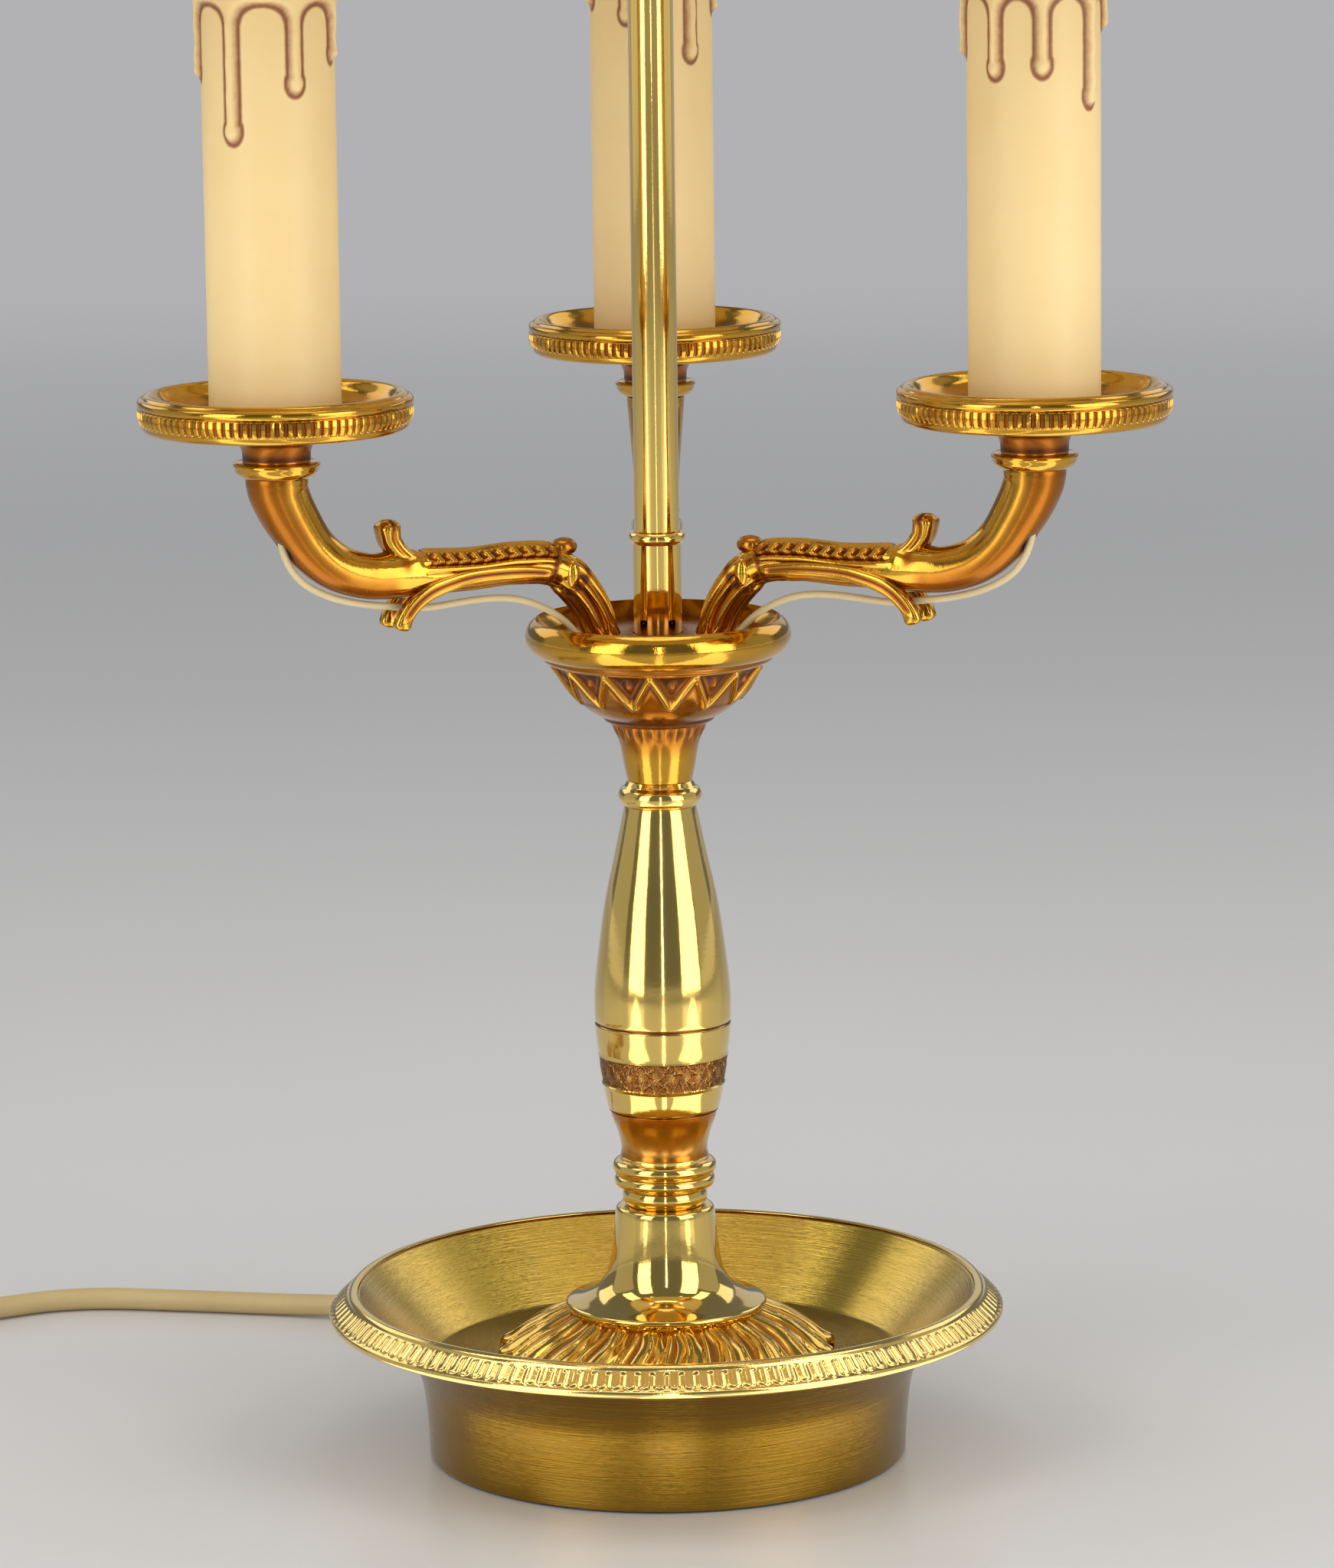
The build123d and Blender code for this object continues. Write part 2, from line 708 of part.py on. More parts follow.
# --- plug: two 4 mm pins 18.6 mm apart on a flat moulded body -----------------------------
pin_radius = 2.0
pin_length = 19.0
pin_spacing = 18.6
plug_body_length = 34.0
plug_back_y = plug_tip_y - relief_length
plug_face_y = plug_back_y - plug_body_length
plug_outline = [
    (-17.6, plug_face_y),
    (17.6, plug_face_y),
    (17.6, plug_face_y + 12),
    (6.5, plug_back_y),
    (-6.5, plug_back_y),
    (-17.6, plug_face_y + 12),
]
plug_flat = make_face(Polyline(*[Vector(x, y, 0) for x, y in plug_outline], close=True))
plug = extrude(plug_flat, amount=2 * plug_half_height, dir=(0, 0, 1))
plug = fillet(plug.edges().filter_by(Axis.Z), 4.0)
level_faces = plug.faces().sort_by(Axis.Z)
plug = fillet(level_faces[0].edges() + level_faces[-1].edges(), 2.4)
plug += loft(
    [
        Plane(origin=(0, plug_back_y - 2, plug_z), z_dir=(0, 1, 0)) * Circle(5.4),
        Plane(origin=(0, plug_tip_y, plug_z), z_dir=(0, 1, 0)) * Circle(3.3),
    ]
)
plug -= rod_between((0, plug_back_y - 6, plug_z), (0, plug_tip_y + 5, plug_z), cord_radius + cord_gap)
save(Pos(coil_left, 0, 0) * plug, "plug_body")

pins = []
for side in (-1, 1):
    x = coil_left + side * pin_spacing / 2
    face = (x, plug_face_y, plug_z)
    tip = (x, plug_face_y - pin_length, plug_z)
    pin = rod_between(face, tip, pin_radius)
    pins.append(fillet(pin.edges().sort_by(Axis.Y)[0], 1.0))
save(Compound(children=pins), "plug_pins")

# --- in-line switch, modelled along +X from its entry and then laid along the cord --------
split_z = 7.5
wall = 1.6
switch_top_z = 15.4


def switch_block(low, high, inset):
    """The switch's rounded oblong, moved in on all sides by inset."""
    length = switch_length - 2 * nozzle - 2 * inset
    outline = RectangleRounded(length, 2 * (switch_half_width - inset), 6.0 - inset)
    placed = Pos(switch_length / 2, 0, low) * outline
    return extrude(placed, amount=high - low)


def switch_nozzle(start, end):
    """A tapered mouth on the switch's end."""
    return loft(
        [
            Plane(origin=(start, 0, split_z), z_dir=(1, 0, 0)) * Circle(3.3),
            Plane(origin=(end, 0, split_z), z_dir=(1, 0, 0)) * Circle(4.8),
        ]
    )


switch_outer = switch_block(0.0, switch_top_z, 0.0)
level_faces = switch_outer.faces().sort_by(Axis.Z)
switch_outer = fillet(level_faces[0].edges() + level_faces[-1].edges(), 2.0)
for start, end in [(0.0, nozzle + 1.0), (switch_length, switch_length - nozzle - 1.0)]:
    switch_outer += switch_nozzle(start, end)
switch_hollow = switch_block(wall, switch_top_z - wall, wall)
way = rod_between((-1, 0, split_z), (switch_length + 1, 0, split_z), cord_radius + cord_gap)
switch_shell = switch_outer - switch_hollow - way
lower_half = Pos(switch_length / 2, 0, split_z - 20) * Box(200, 100, 40)
rocker_length = 16.0
rocker_width = 9.0
rocker_tilt = 7.0
window = Pos(switch_length / 2, 0, switch_top_z) * Box(rocker_length + 1.8, rocker_width + 0.8, 10)
to_cord = Pos(entry.X, entry.Y, 0) * Rot(0, 0, switch_heading)
save(to_cord * (switch_shell & lower_half), "switch_base")
save(to_cord * (switch_shell - lower_half - window), "switch_cover")

rocker_pivot_z = 12.6
rocker_profile = make_face(
    [
        *Polyline(
            Vector(-rocker_length / 2, 16.6),
            Vector(-rocker_length / 2 + 1.0, 11.4),
            Vector(rocker_length / 2 - 1.0, 11.4),
            Vector(rocker_length / 2, 16.6),
        ).edges(),
        *ThreePointArc(
            Vector(rocker_length / 2, 16.6), Vector(0, 15.4), Vector(-rocker_length / 2, 16.6)
        ).edges(),
    ]
)
rocker = Pos(0, rocker_width / 2, 0) * extrude(Plane.XZ * rocker_profile, amount=rocker_width)
pin_end = rocker_width / 2 + 0.3
rocker += rod_between((0, -pin_end, rocker_pivot_z), (0, pin_end, rocker_pivot_z), 1.0)
rocker = Pos(0, 0, rocker_pivot_z) * Rot(0, rocker_tilt, 0) * Pos(0, 0, -rocker_pivot_z) * rocker
save(to_cord * Pos(switch_length / 2, 0, 0) * rocker, "switch_rocker")
middle = entry + switch_axis * (switch_length / 2)
print("rocker pivot:", round(middle.X, 3), round(middle.Y, 3), rocker_pivot_z)
print("rocker axis:", round(switch_axis.Y, 5), round(-switch_axis.X, 5))
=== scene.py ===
import math

import bmesh
import bpy
import numpy as np
from mathutils import Matrix, Vector


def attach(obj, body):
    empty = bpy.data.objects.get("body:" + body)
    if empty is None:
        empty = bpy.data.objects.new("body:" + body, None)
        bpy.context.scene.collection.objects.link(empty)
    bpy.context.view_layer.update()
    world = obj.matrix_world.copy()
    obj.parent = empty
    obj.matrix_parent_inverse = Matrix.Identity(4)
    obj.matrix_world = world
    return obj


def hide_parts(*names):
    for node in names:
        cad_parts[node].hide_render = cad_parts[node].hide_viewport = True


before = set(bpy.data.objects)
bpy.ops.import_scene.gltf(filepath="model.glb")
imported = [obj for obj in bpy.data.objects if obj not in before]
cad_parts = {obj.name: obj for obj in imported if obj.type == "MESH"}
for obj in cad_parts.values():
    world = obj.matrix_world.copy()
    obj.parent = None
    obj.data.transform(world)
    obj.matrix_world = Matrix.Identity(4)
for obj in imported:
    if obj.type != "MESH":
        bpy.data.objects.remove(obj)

# A brass bouillotte lamp. Lengths are millimetres until a mesh is made, when MM turns them into
# metres. +Z is up along the column's axis and -Y is the front.
MM = 0.001
TURN = 2 * math.pi
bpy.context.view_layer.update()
scene = bpy.context.scene

ARM_AZIMUTHS = {"left": 210.0, "right": -30.0, "rear": 90.0}
ARM_REACH = 89.0


# --- camera ---
FRAME_HEIGHT_PX = 2048
FOCAL_PX = 8684.0
SENSOR_MM = 36.0
CAMERA_PLACE = (0.0015, -1.3874, 0.3938)
CAMERA_PITCH = 10.153
CAMERA_ROLL = -0.7

camera_data = bpy.data.cameras.new("camera")
camera_data.sensor_fit = "VERTICAL"
camera_data.sensor_height = SENSOR_MM
camera_data.lens = FOCAL_PX / FRAME_HEIGHT_PX * SENSOR_MM
camera = bpy.data.objects.new("camera", camera_data)
scene.collection.objects.link(camera)
pitch = Matrix.Rotation(math.radians(90 - CAMERA_PITCH), 4, "X")
roll = Matrix.Rotation(math.radians(CAMERA_ROLL), 4, "Z")
camera.matrix_world = Matrix.Translation(CAMERA_PLACE) @ pitch @ roll
scene.camera = camera


# --- shader nodes ---
class Wire:
    """A node's output that can be used in arithmetic; each operation adds one Math node."""

    def __init__(self, net, socket):
        self.net = net
        self.socket = socket

    def math(self, operation, first, second):
        return self.net.node("Math", {0: first, 1: second}, operation=operation)


for symbol, operation in {"add": "ADD", "sub": "SUBTRACT", "mul": "MULTIPLY", "pow": "POWER"}.items():
    setattr(Wire, f"__{symbol}__", lambda self, other, kind=operation: self.math(kind, self, other))
    setattr(Wire, f"__r{symbol}__", lambda self, other, kind=operation: self.math(kind, other, self))


class Net:
    """One material's or the world's nodes."""

    def __init__(self, owner):
        self.owner = owner
        owner.use_nodes = True
        self.tree = owner.node_tree
        self.tree.nodes.clear()

    @classmethod
    def look(cls, name):
        """A new material's nodes."""
        return cls(bpy.data.materials.new(f"{name}_look"))

    def node(self, kind, inputs=None, out=0, **settings):
        """Adds a shader node: its settings first, then its sockets' values or links."""
        made = self.tree.nodes.new(f"ShaderNode{kind}")
        for key, value in settings.items():
            setattr(made, key, value)
        for key, value in (inputs or {}).items():
            if isinstance(value, Wire):
                self.tree.links.new(value.socket, made.inputs[key])
            else:
                made.inputs[key].default_value = value
        return Wire(self, made.outputs[out]) if made.outputs else None

    def mix(self, amount, first, second):
        """A colour between first and second."""
        sockets = {0: amount, 6: first, 7: second}
        return self.node("Mix", sockets, out=2, data_type="RGBA", clamp_factor=True)

    def noise(self, scale, detail=3, roughness=0.55, place=None):
        """Noise on the piece's own coordinates in metres, or on another place."""
        sockets = {"Scale": scale, "Detail": detail, "Roughness": roughness}
        return self.node("TexNoise", {"Vector": place or self.place(), **sockets})

    def band(self, value, low, high):
        """0 below low, 1 above high, smooth between."""
        sockets = {"Value": value, "From Min": low, "From Max": high, "To Min": 0, "To Max": 1}
        return self.node("MapRange", sockets, interpolation_type="SMOOTHSTEP", clamp=True)

    def place(self):
        return self.node("TexCoord", out="Object")

    def attribute(self, name):
        return self.node("Attribute", out="Fac", attribute_name=name)

    def parts(self, vector):
        made = self.tree.nodes.new("ShaderNodeSeparateXYZ")
        self.tree.links.new(vector.socket, made.inputs[0])
        return [Wire(self, socket) for socket in made.outputs]

    def vector(self, x, y, z):
        return self.node("CombineXYZ", {0: x, 1: y, 2: z})

    def bump(self, height, strength, distance):
        sockets = {"Height": height, "Strength": strength, "Distance": distance}
        return self.node("Bump", sockets, out="Normal")

    def finish(self, **sockets):
        """The finished material; its sockets are named with _ for a space."""
        values = {key.replace("_", " "): value for key, value in sockets.items()}
        surface = self.node("BsdfPrincipled", values)
        self.node("OutputMaterial", {"Surface": surface})
        return self.owner


def rgb(red, green, blue):
    """A linear colour from 0 to 255 display values."""
    values = [channel / 255 for channel in (red, green, blue)]
    return tuple(v / 12.92 if v <= 0.04045 else ((v + 0.055) / 1.055) ** 2.4 for v in values) + (1.0,)


def polar(net):
    """Distance from the column's axis, angle about it, and height, on Object coordinates."""
    x, y, z = net.parts(net.place())
    radius = (x * x + y * y) ** 0.5
    angle = net.node("Math", {0: y, 1: x}, operation="ARCTAN2")
    return radius, angle, z


def polished_brass(name, deep):
    """Lacquered brass with a mirror finish, faint clouding and hairline scratches, toned to a
    deeper colour in its recesses."""
    net = Net.look(name)
    cloud = net.noise(35)
    fine = net.noise(900, 2)
    tone = net.mix(cloud, rgb(222, 186, 90), rgb(234, 202, 114))
    recess = net.attribute("recess")
    colour = net.mix(recess, tone, deep)
    rough = 0.075 + net.band(cloud, 0.4, 0.75) * 0.06 + recess * 0.15
    return net.finish(
        Base_Color=colour, Metallic=1.0, Roughness=rough, Normal=net.bump(fine, 0.04, 0.0002),
        Coat_Weight=0.6 - recess * 0.55, Coat_Roughness=0.04,
    )


def satin_brass(name, light, dark):
    """Brass brushed round the axis: fine rings that break up along their length."""
    net = Net.look(name)
    radius, angle, z = polar(net)
    rings = net.noise(1, 4, 0.7, net.vector(radius * 2600, angle * 2, z * 2600))
    coarse = net.noise(1, 2, place=net.vector(radius * 500, angle * 1.2, z * 500))
    cloud = net.noise(22)
    recess = net.attribute("recess")
    colour = net.mix(recess, net.mix(cloud * 0.5 + coarse * 0.4, light, dark), rgb(120, 74, 22))
    return net.finish(
        Base_Color=colour, Metallic=1.0, Roughness=0.1 + rings * 0.1,
        Normal=net.bump(rings, 0.42, 0.0003), Coat_Weight=0.12, Coat_Roughness=0.1,
    )


def cast_brass(name, crest, amber):
    """Cast and chased gilt brass: bright on the crests, amber to dark brown in the recesses. The
    recess value is the hollows' patina and, on some pieces, painted shade.
    """
    net = Net.look(name)
    grain = net.noise(1400, 3, 0.65)
    cloud = net.noise(90)
    recess = net.attribute("recess")
    # The recess value holds the hollows' patina and, on some pieces, painted shade; the noise varies it at
    # random.
    patina_and_shade = recess + (cloud - 0.5) * 0.35
    gilt = net.mix(net.band(patina_and_shade, 0.12, 0.55), crest, amber)
    colour = net.mix(net.band(patina_and_shade, 0.5, 0.95), gilt, rgb(78, 36, 10))
    dulled = {"Value": patina_and_shade, "From Min": 0.5, "From Max": 1.0, "To Min": 1.0, "To Max": 0.75}
    return net.finish(
        Base_Color=colour, Metallic=net.node("MapRange", dulled),
        Roughness=0.08 + net.band(patina_and_shade, 0.15, 0.8) * 0.3 + grain * 0.05,
        Normal=net.bump(grain, 0.07, 0.0003), Coat_Weight=0.14, Coat_Roughness=0.06,
    )


def candle_plastic():
    """Ivory moulded plastic; the wax drips' edges are shaded brown."""
    net = Net.look("candle_plastic")
    cloud = net.noise(60)
    fine = net.noise(700, 2)
    stain = net.attribute("stain")
    ivory = net.mix(cloud, rgb(240, 208, 146), rgb(246, 218, 162))
    colour = net.mix(net.band(stain + (fine - 0.5) * 0.25, 0.15, 0.95), ivory, rgb(142, 84, 44))
    return net.finish(
        Base_Color=colour, Roughness=0.42 + cloud * 0.12, Normal=net.bump(fine, 0.05, 0.0003),
        Subsurface_Weight=0.12, Subsurface_Radius=(0.004, 0.002, 0.001), Subsurface_Scale=1.0,
    )


def mottled(name, light, dark, rough, vary=0.1, scales=(120, 1500), strength=0.08, metallic=0.0):
    """A plain surface, slightly mottled between light and dark, with a fine grain."""
    net = Net.look(name)
    cloud = net.noise(scales[0])
    fine = net.noise(scales[1], 2)
    return net.finish(
        Base_Color=net.mix(cloud, light, dark), Metallic=metallic, Roughness=rough + cloud * vary,
        Normal=net.bump(fine, strength, 0.0002),
    )


def shade_paint():
    """Dark green lacquered sheet outside with gilt lines, warm white inside."""
    net = Net.look("shade_paint")
    height = net.parts(net.place())[2] * 1000
    cloud = net.noise(40)
    fine = net.noise(500)
    outside = net.attribute("outside")
    gilt = 0.0
    for low, high in GILT_LINES:
        above = net.band(height, low - LINE_EDGE, low + LINE_EDGE)
        gilt = above * (1.0 - net.band(height, high - LINE_EDGE, high + LINE_EDGE)) + gilt
    gilt = gilt * outside
    lacquer = net.mix(cloud, rgb(16, 44, 30), rgb(24, 56, 38))
    inside = net.mix(cloud, rgb(236, 224, 196), rgb(242, 232, 208))
    colour = net.mix(gilt, net.mix(outside, inside, lacquer), rgb(224, 184, 96))
    return net.finish(
        Base_Color=colour, Metallic=gilt, Roughness=0.3 + cloud * 0.12,
        Normal=net.bump(fine, 0.06, 0.0004), Coat_Weight=outside * 0.5, Coat_Roughness=0.15,
    )


def opal_glass():
    """Frosted bulb glass, faintly clouded."""
    net = Net.look("opal_glass")
    cloud = net.noise(80)
    return net.finish(
        Base_Color=net.mix(cloud, rgb(240, 238, 230), rgb(247, 245, 238)),
        Roughness=0.08 + cloud * 0.06, Coat_Weight=0.4, Coat_Roughness=0.03, Subsurface_Weight=0.3,
        Subsurface_Radius=(0.01, 0.008, 0.006), Subsurface_Scale=1.0,
    )


def felt():
    """Green felt with visible fibres."""
    net = Net.look("felt")
    fibres = net.noise(900, 5, 0.7)
    cloud = net.noise(60)
    return net.finish(
        Base_Color=net.mix(fibres * 0.6 + cloud * 0.4, rgb(18, 50, 30), rgb(44, 84, 54)),
        Roughness=0.95, Normal=net.bump(fibres, 0.5, 0.0006), Sheen_Weight=0.3,
    )


GILT_LINES = [(334, 336.2), (341, 341.8), (448, 448.8), (453, 455)]
LINE_EDGE = 0.15
POLISHED = polished_brass("polished_brass", rgb(140, 82, 22))
POLISHED_CHASED = polished_brass("chased_brass", rgb(108, 46, 10))
AMBER = polished_brass("amber_brass", rgb(182, 104, 4))
SATIN = satin_brass("satin_brass", rgb(218, 186, 88), rgb(190, 156, 62))
# The drum is the dish's brushed brass in darker tones: painted shade.
SHADED_DRUM = satin_brass("shaded_drum_brass", rgb(154, 120, 40), rgb(134, 100, 28))
CAST = cast_brass("cast_brass", rgb(198, 150, 52), rgb(158, 94, 20))
LEAF_CAST = cast_brass("leaf_brass", rgb(220, 178, 78), rgb(182, 122, 38))
PALE_CAST = cast_brass("pale_cast_brass", rgb(240, 208, 124), rgb(208, 158, 74))
CANDLE = candle_plastic()
CORD = mottled("cord_sheath", rgb(206, 184, 132), rgb(192, 168, 116), 0.42)
ARM_WIRE = mottled("wire_sheath", rgb(208, 192, 150), rgb(194, 176, 134), 0.5)
FITTING = mottled("fitting_plastic", rgb(200, 170, 108), rgb(188, 158, 98), 0.32)
HOLDER = mottled("lampholder_plastic", rgb(226, 222, 212), rgb(214, 208, 196), 0.5)
OPAL = opal_glass()
BARE = {"vary": 0.12, "scales": (150, 1200), "strength": 0.1, "metallic": 1.0}
NICKEL = mottled("nickel", rgb(206, 204, 198), rgb(188, 186, 180), 0.18, **BARE)
IRON = mottled("cast_iron", rgb(70, 70, 72), rgb(48, 48, 50), 0.5, **BARE)
FELT = felt()
SHADE = shade_paint()


# --- mesh making ---
def add_piece(name, data, material, body, nodes):
    """A mesh or a curve as a piece that rides on body and replaces nodes."""
    data.materials.append(material)
    piece = bpy.data.objects.new(name, data)
    scene.collection.objects.link(piece)
    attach(piece, body)
    if nodes:
        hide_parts(*nodes)
    return piece


def grid_faces(rows, columns, wrap_rows, wrap_columns):
    """The quads of a grid of rows by columns points, closed on itself where it wraps."""
    r = np.arange(rows if wrap_rows else rows - 1)[:, None]
    c = np.arange(columns if wrap_columns else columns - 1)[None, :]
    r_next = (r + 1) % rows
    c_next = (c + 1) % columns
    corners = [r * columns + c, r_next * columns + c, r_next * columns + c_next, r * columns + c_next]
    return np.stack([corner + 0 * r * c for corner in corners], axis=-1).reshape(-1, 4)


def make_piece(name, points, faces, material, body, nodes=(), merge=False, fields=None, sharp=38):
    """A mesh object from points in millimetres; it rides on body and replaces nodes."""
    mesh = bpy.data.meshes.new(name)
    flat = (points.reshape(-1, 3) * MM).astype(np.float32)
    mesh.vertices.add(len(flat))
    mesh.vertices.foreach_set("co", flat.ravel())
    mesh.loops.add(faces.size)
    mesh.loops.foreach_set("vertex_index", faces.astype(np.int32).ravel())
    mesh.polygons.add(len(faces))
    mesh.polygons.foreach_set("loop_start", np.arange(0, faces.size, faces.shape[1], dtype=np.int32))
    mesh.update(calc_edges=True)
    for field, values in (fields or {}).items():
        layer = mesh.attributes.new(field, "FLOAT", "POINT")
        layer.data.foreach_set("value", values.astype(np.float32).ravel())
    if merge:
        work = bmesh.new()
        work.from_mesh(mesh)
        bmesh.ops.remove_doubles(work, verts=work.verts, dist=1e-6)
        work.to_mesh(mesh)
        work.free()
    mesh.shade_smooth()
    mesh.set_sharp_from_angle(angle=math.radians(sharp))
    return add_piece(name, mesh, material, body, nodes)


def line(*points):
    """Straight runs through (radius, height) points."""
    return np.array(points, dtype=float)


def curve(*points, steps=9):
    """A smooth curve through points: a Catmull-Rom spline, steps samples for each span."""
    knots = np.array(points, dtype=float)
    padded = np.vstack([2 * knots[0] - knots[1], knots, 2 * knots[-1] - knots[-2]])
    t = np.linspace(0, 1, steps, endpoint=False)[:, None]
    spans = []
    for a, b, c, d in zip(padded, padded[1:], padded[2:], padded[3:]):
        square, cube = 2 * a - 5 * b + 4 * c - d, 3 * b - a - 3 * c + d
        spans.append(0.5 * (2 * b + (c - a) * t + square * t**2 + cube * t**3))
    return np.vstack([*spans, knots[-1:]])


def bead(start, end, bulge, steps=12):
    """A round bead from start to end, standing out from their chord by bulge."""
    start, end = np.array(start, dtype=float), np.array(end, dtype=float)
    chord = end - start
    length = np.hypot(*chord)
    radius = (length**2 / 4 + bulge**2) / (2 * bulge)
    half = math.asin(min(1.0, length / 2 / radius))
    if bulge > length / 2:
        half = math.pi - half
    out = np.array([chord[1], -chord[0]]) / length
    centre = (start + end) / 2 + out * (bulge - radius)
    angle = np.linspace(-half, half, steps)[:, None]
    return centre + radius * (np.cos(angle) * out + np.sin(angle) * chord / length)


def chain(*runs):
    """One outline from runs that follow each other, with repeated points dropped."""
    points = np.vstack(runs)
    keep = np.ones(len(points), dtype=bool)
    keep[1:] = np.hypot(*(points[1:] - points[:-1]).T) > 1e-4
    return points[keep]


def soften(points, radius, closed, limit=24.0):
    """Rounds each corner that turns by more than limit degrees with three small steps."""
    before = np.roll(points, 1, axis=0)
    after = np.roll(points, -1, axis=0)
    arrive, leave = points - before, after - points
    arrive_length = np.hypot(*arrive.T)
    leave_length = np.hypot(*leave.T)
    cosine = (arrive * leave).sum(axis=1) / np.maximum(arrive_length * leave_length, 1e-9)
    sharp = cosine < math.cos(math.radians(limit))
    if not closed:
        sharp[[0, -1]] = False
    cut = np.minimum(radius, 0.4 * np.minimum(arrive_length, leave_length))[:, None]
    low = points - arrive / np.maximum(arrive_length, 1e-9)[:, None] * cut
    high = points + leave / np.maximum(leave_length, 1e-9)[:, None] * cut
    rows = []
    for is_sharp, before_it, corner, after_it in zip(sharp, low, points, high):
        if is_sharp:
            for t in (0, 0.3, 0.7, 1):
                rows.append((1 - t) ** 2 * before_it + 2 * t * (1 - t) * corner + t**2 * after_it)
        else:
            rows.append(corner)
    return np.array(rows)


def outward(outline, closed):
    """The unit normal at each point of an outline whose outside is on its right-hand side."""
    if closed:
        along = np.roll(outline, -1, axis=0) - np.roll(outline, 1, axis=0)
    else:
        along = np.gradient(outline, axis=0)
    along /= np.maximum(np.hypot(*along.T), 1e-9)[:, None]
    return np.stack([along[:, 1], -along[:, 0]], axis=1)


def spin(name, outline, material, body="lamp", nodes=(), turns=128, bore=None, loop=False, open_low=False,
         relief=None, centre=(0, 0), edge=0.2, fields=None):
    """A turned piece: an outline of (radius, height) carried round a vertical axis at centre.

    Point (i, j) is outline point j at angle i, moved along the outline's normal by relief.
    With a bore the outline is closed through a straight hole, and a loop is closed as it is. An
    open_low outline ends on the axis at its top. relief takes angles (column) and outline
    points and returns (height, recess); the recess of a candle is its stain.
    """
    closed = loop or not open_low
    if bore is not None:
        outline = np.vstack([outline, [[bore, outline[-1, 1]], [bore, outline[0, 1]]]])
    outline = soften(outline, edge, closed)
    angle = np.linspace(0, TURN, turns, endpoint=False)[:, None]
    normal = outward(outline, closed)
    height, recess = relief(angle, outline) if relief else (0, 0)
    height, recess = (np.broadcast_to(layer, (turns, len(outline))) for layer in (height, recess))
    radius = outline[None, :, 0] + height * normal[None, :, 0]
    z = outline[None, :, 1] + height * normal[None, :, 1]
    if not closed:
        radius = np.where(outline[None, :, 0] < 1e-6, 0.0, radius)
    points = np.stack([centre[0] + radius * np.cos(angle), centre[1] + radius * np.sin(angle), z], axis=-1)
    layers = {"stain" if material == CANDLE else "recess": recess}
    for key, value in (fields or {}).items():
        layers[key] = np.broadcast_to(value(outline), recess.shape)
    faces = grid_faces(turns, len(outline), True, closed)
    return make_piece(name, points, faces, material, body, nodes, merge=not closed, fields=layers)


def ramp(value, low, high):
    """0 below low, 1 above high, and 3t^2 - 2t^3 between."""
    t = np.clip((value - low) / (high - low), 0, 1)
    return t * t * (3 - 2 * t)


def between(value, rise, full, fade, gone):
    """0 below rise, 1 from full to fade and 0 above gone, smooth between."""
    return ramp(value, rise, full) * (1 - ramp(value, fade, gone))


def gauss(value, width):
    """A bell curve, 1 at 0."""
    return np.exp(-((value / width) ** 2))


def wrap(degrees):
    """The same angle from -180 to 180 degrees."""
    return (degrees + 180) % 360 - 180


def repeat(angle, count, phase=0.0):
    """Where an angle lies in its repeat of a ring of motifs, from -0.5 to 0.5."""
    return (angle / TURN * count + phase) % 1.0 - 0.5


# --- mains cord ---
CORD_RADIUS = 2.5
EXIT_AZIMUTH = math.radians(112.0)
EXIT_Z = 10.0
RELIEF_TIP = 76.0
CORD_IN_RELIEF = 12.0
SWITCH_HEADING = math.radians(215.0)
SWITCH_ENTRY = np.array([-197.7, 87.1, 7.5])
SWITCH_LENGTH = 62.0
STRAIGHT_IN, STRAIGHT_OUT = 14.0, 10.0
COIL_CENTRE = np.array([-230.5, -4.0])
COIL_TURN = 37.5
COIL_LEFT = COIL_CENTRE[0] - COIL_TURN
PLUG_Z = 7.0
PLUG_TIP_Y = -34.0
COIL_TURNS = 8
LAYER_PITCH = 5.0
UPPER_PITCH = 3.75
POINTS_PER_TURN = 14

exit_way = np.array([math.cos(EXIT_AZIMUTH), math.sin(EXIT_AZIMUTH), 0.0])
switch_way = np.array([math.cos(SWITCH_HEADING), math.sin(SWITCH_HEADING), 0.0])
relief_mouth = exit_way * (RELIEF_TIP - CORD_IN_RELIEF) + [0, 0, EXIT_Z]


def coil_points():
    """Eight turns: the lower layer winds inwards in four turns and the upper one outwards."""
    turn = np.arange(POINTS_PER_TURN * COIL_TURNS + 1) / POINTS_PER_TURN
    outwards = np.maximum(turn - COIL_TURNS / 2, 0)
    radius = COIL_TURN - LAYER_PITCH * np.minimum(turn, 3) + UPPER_PITCH * outwards
    z = CORD_RADIUS + LAYER_PITCH * ramp(turn, 3.3, 4.1)
    angle = math.pi + turn * TURN
    x, y = COIL_CENTRE[0] + radius * np.cos(angle), COIL_CENTRE[1] + radius * np.sin(angle)
    return np.stack([x, y, z], axis=1)


cord_route = [
    relief_mouth,
    (-34.6, 85.7, EXIT_Z),
    (-53, 104, 4.9),
    (-80, 114.5, CORD_RADIUS),
    (-110, 120.5, CORD_RADIUS),
    (-139, 125.5, CORD_RADIUS),
    (-160, 113.5, CORD_RADIUS),
    (-178.4, 101.2, 4.8),
    SWITCH_ENTRY,
    SWITCH_ENTRY + switch_way * STRAIGHT_IN,
    SWITCH_ENTRY + switch_way * (SWITCH_LENGTH - STRAIGHT_IN),
    SWITCH_ENTRY + switch_way * (SWITCH_LENGTH + STRAIGHT_OUT),
    (COIL_LEFT + 2.3, 27.5, 4.2),
    (COIL_LEFT + 0.2, 8, CORD_RADIUS),
    *coil_points(),
    (COIL_LEFT - 0.2, COIL_CENTRE[1] - 18, PLUG_Z),
    (COIL_LEFT, PLUG_TIP_Y - 8, PLUG_Z),
]


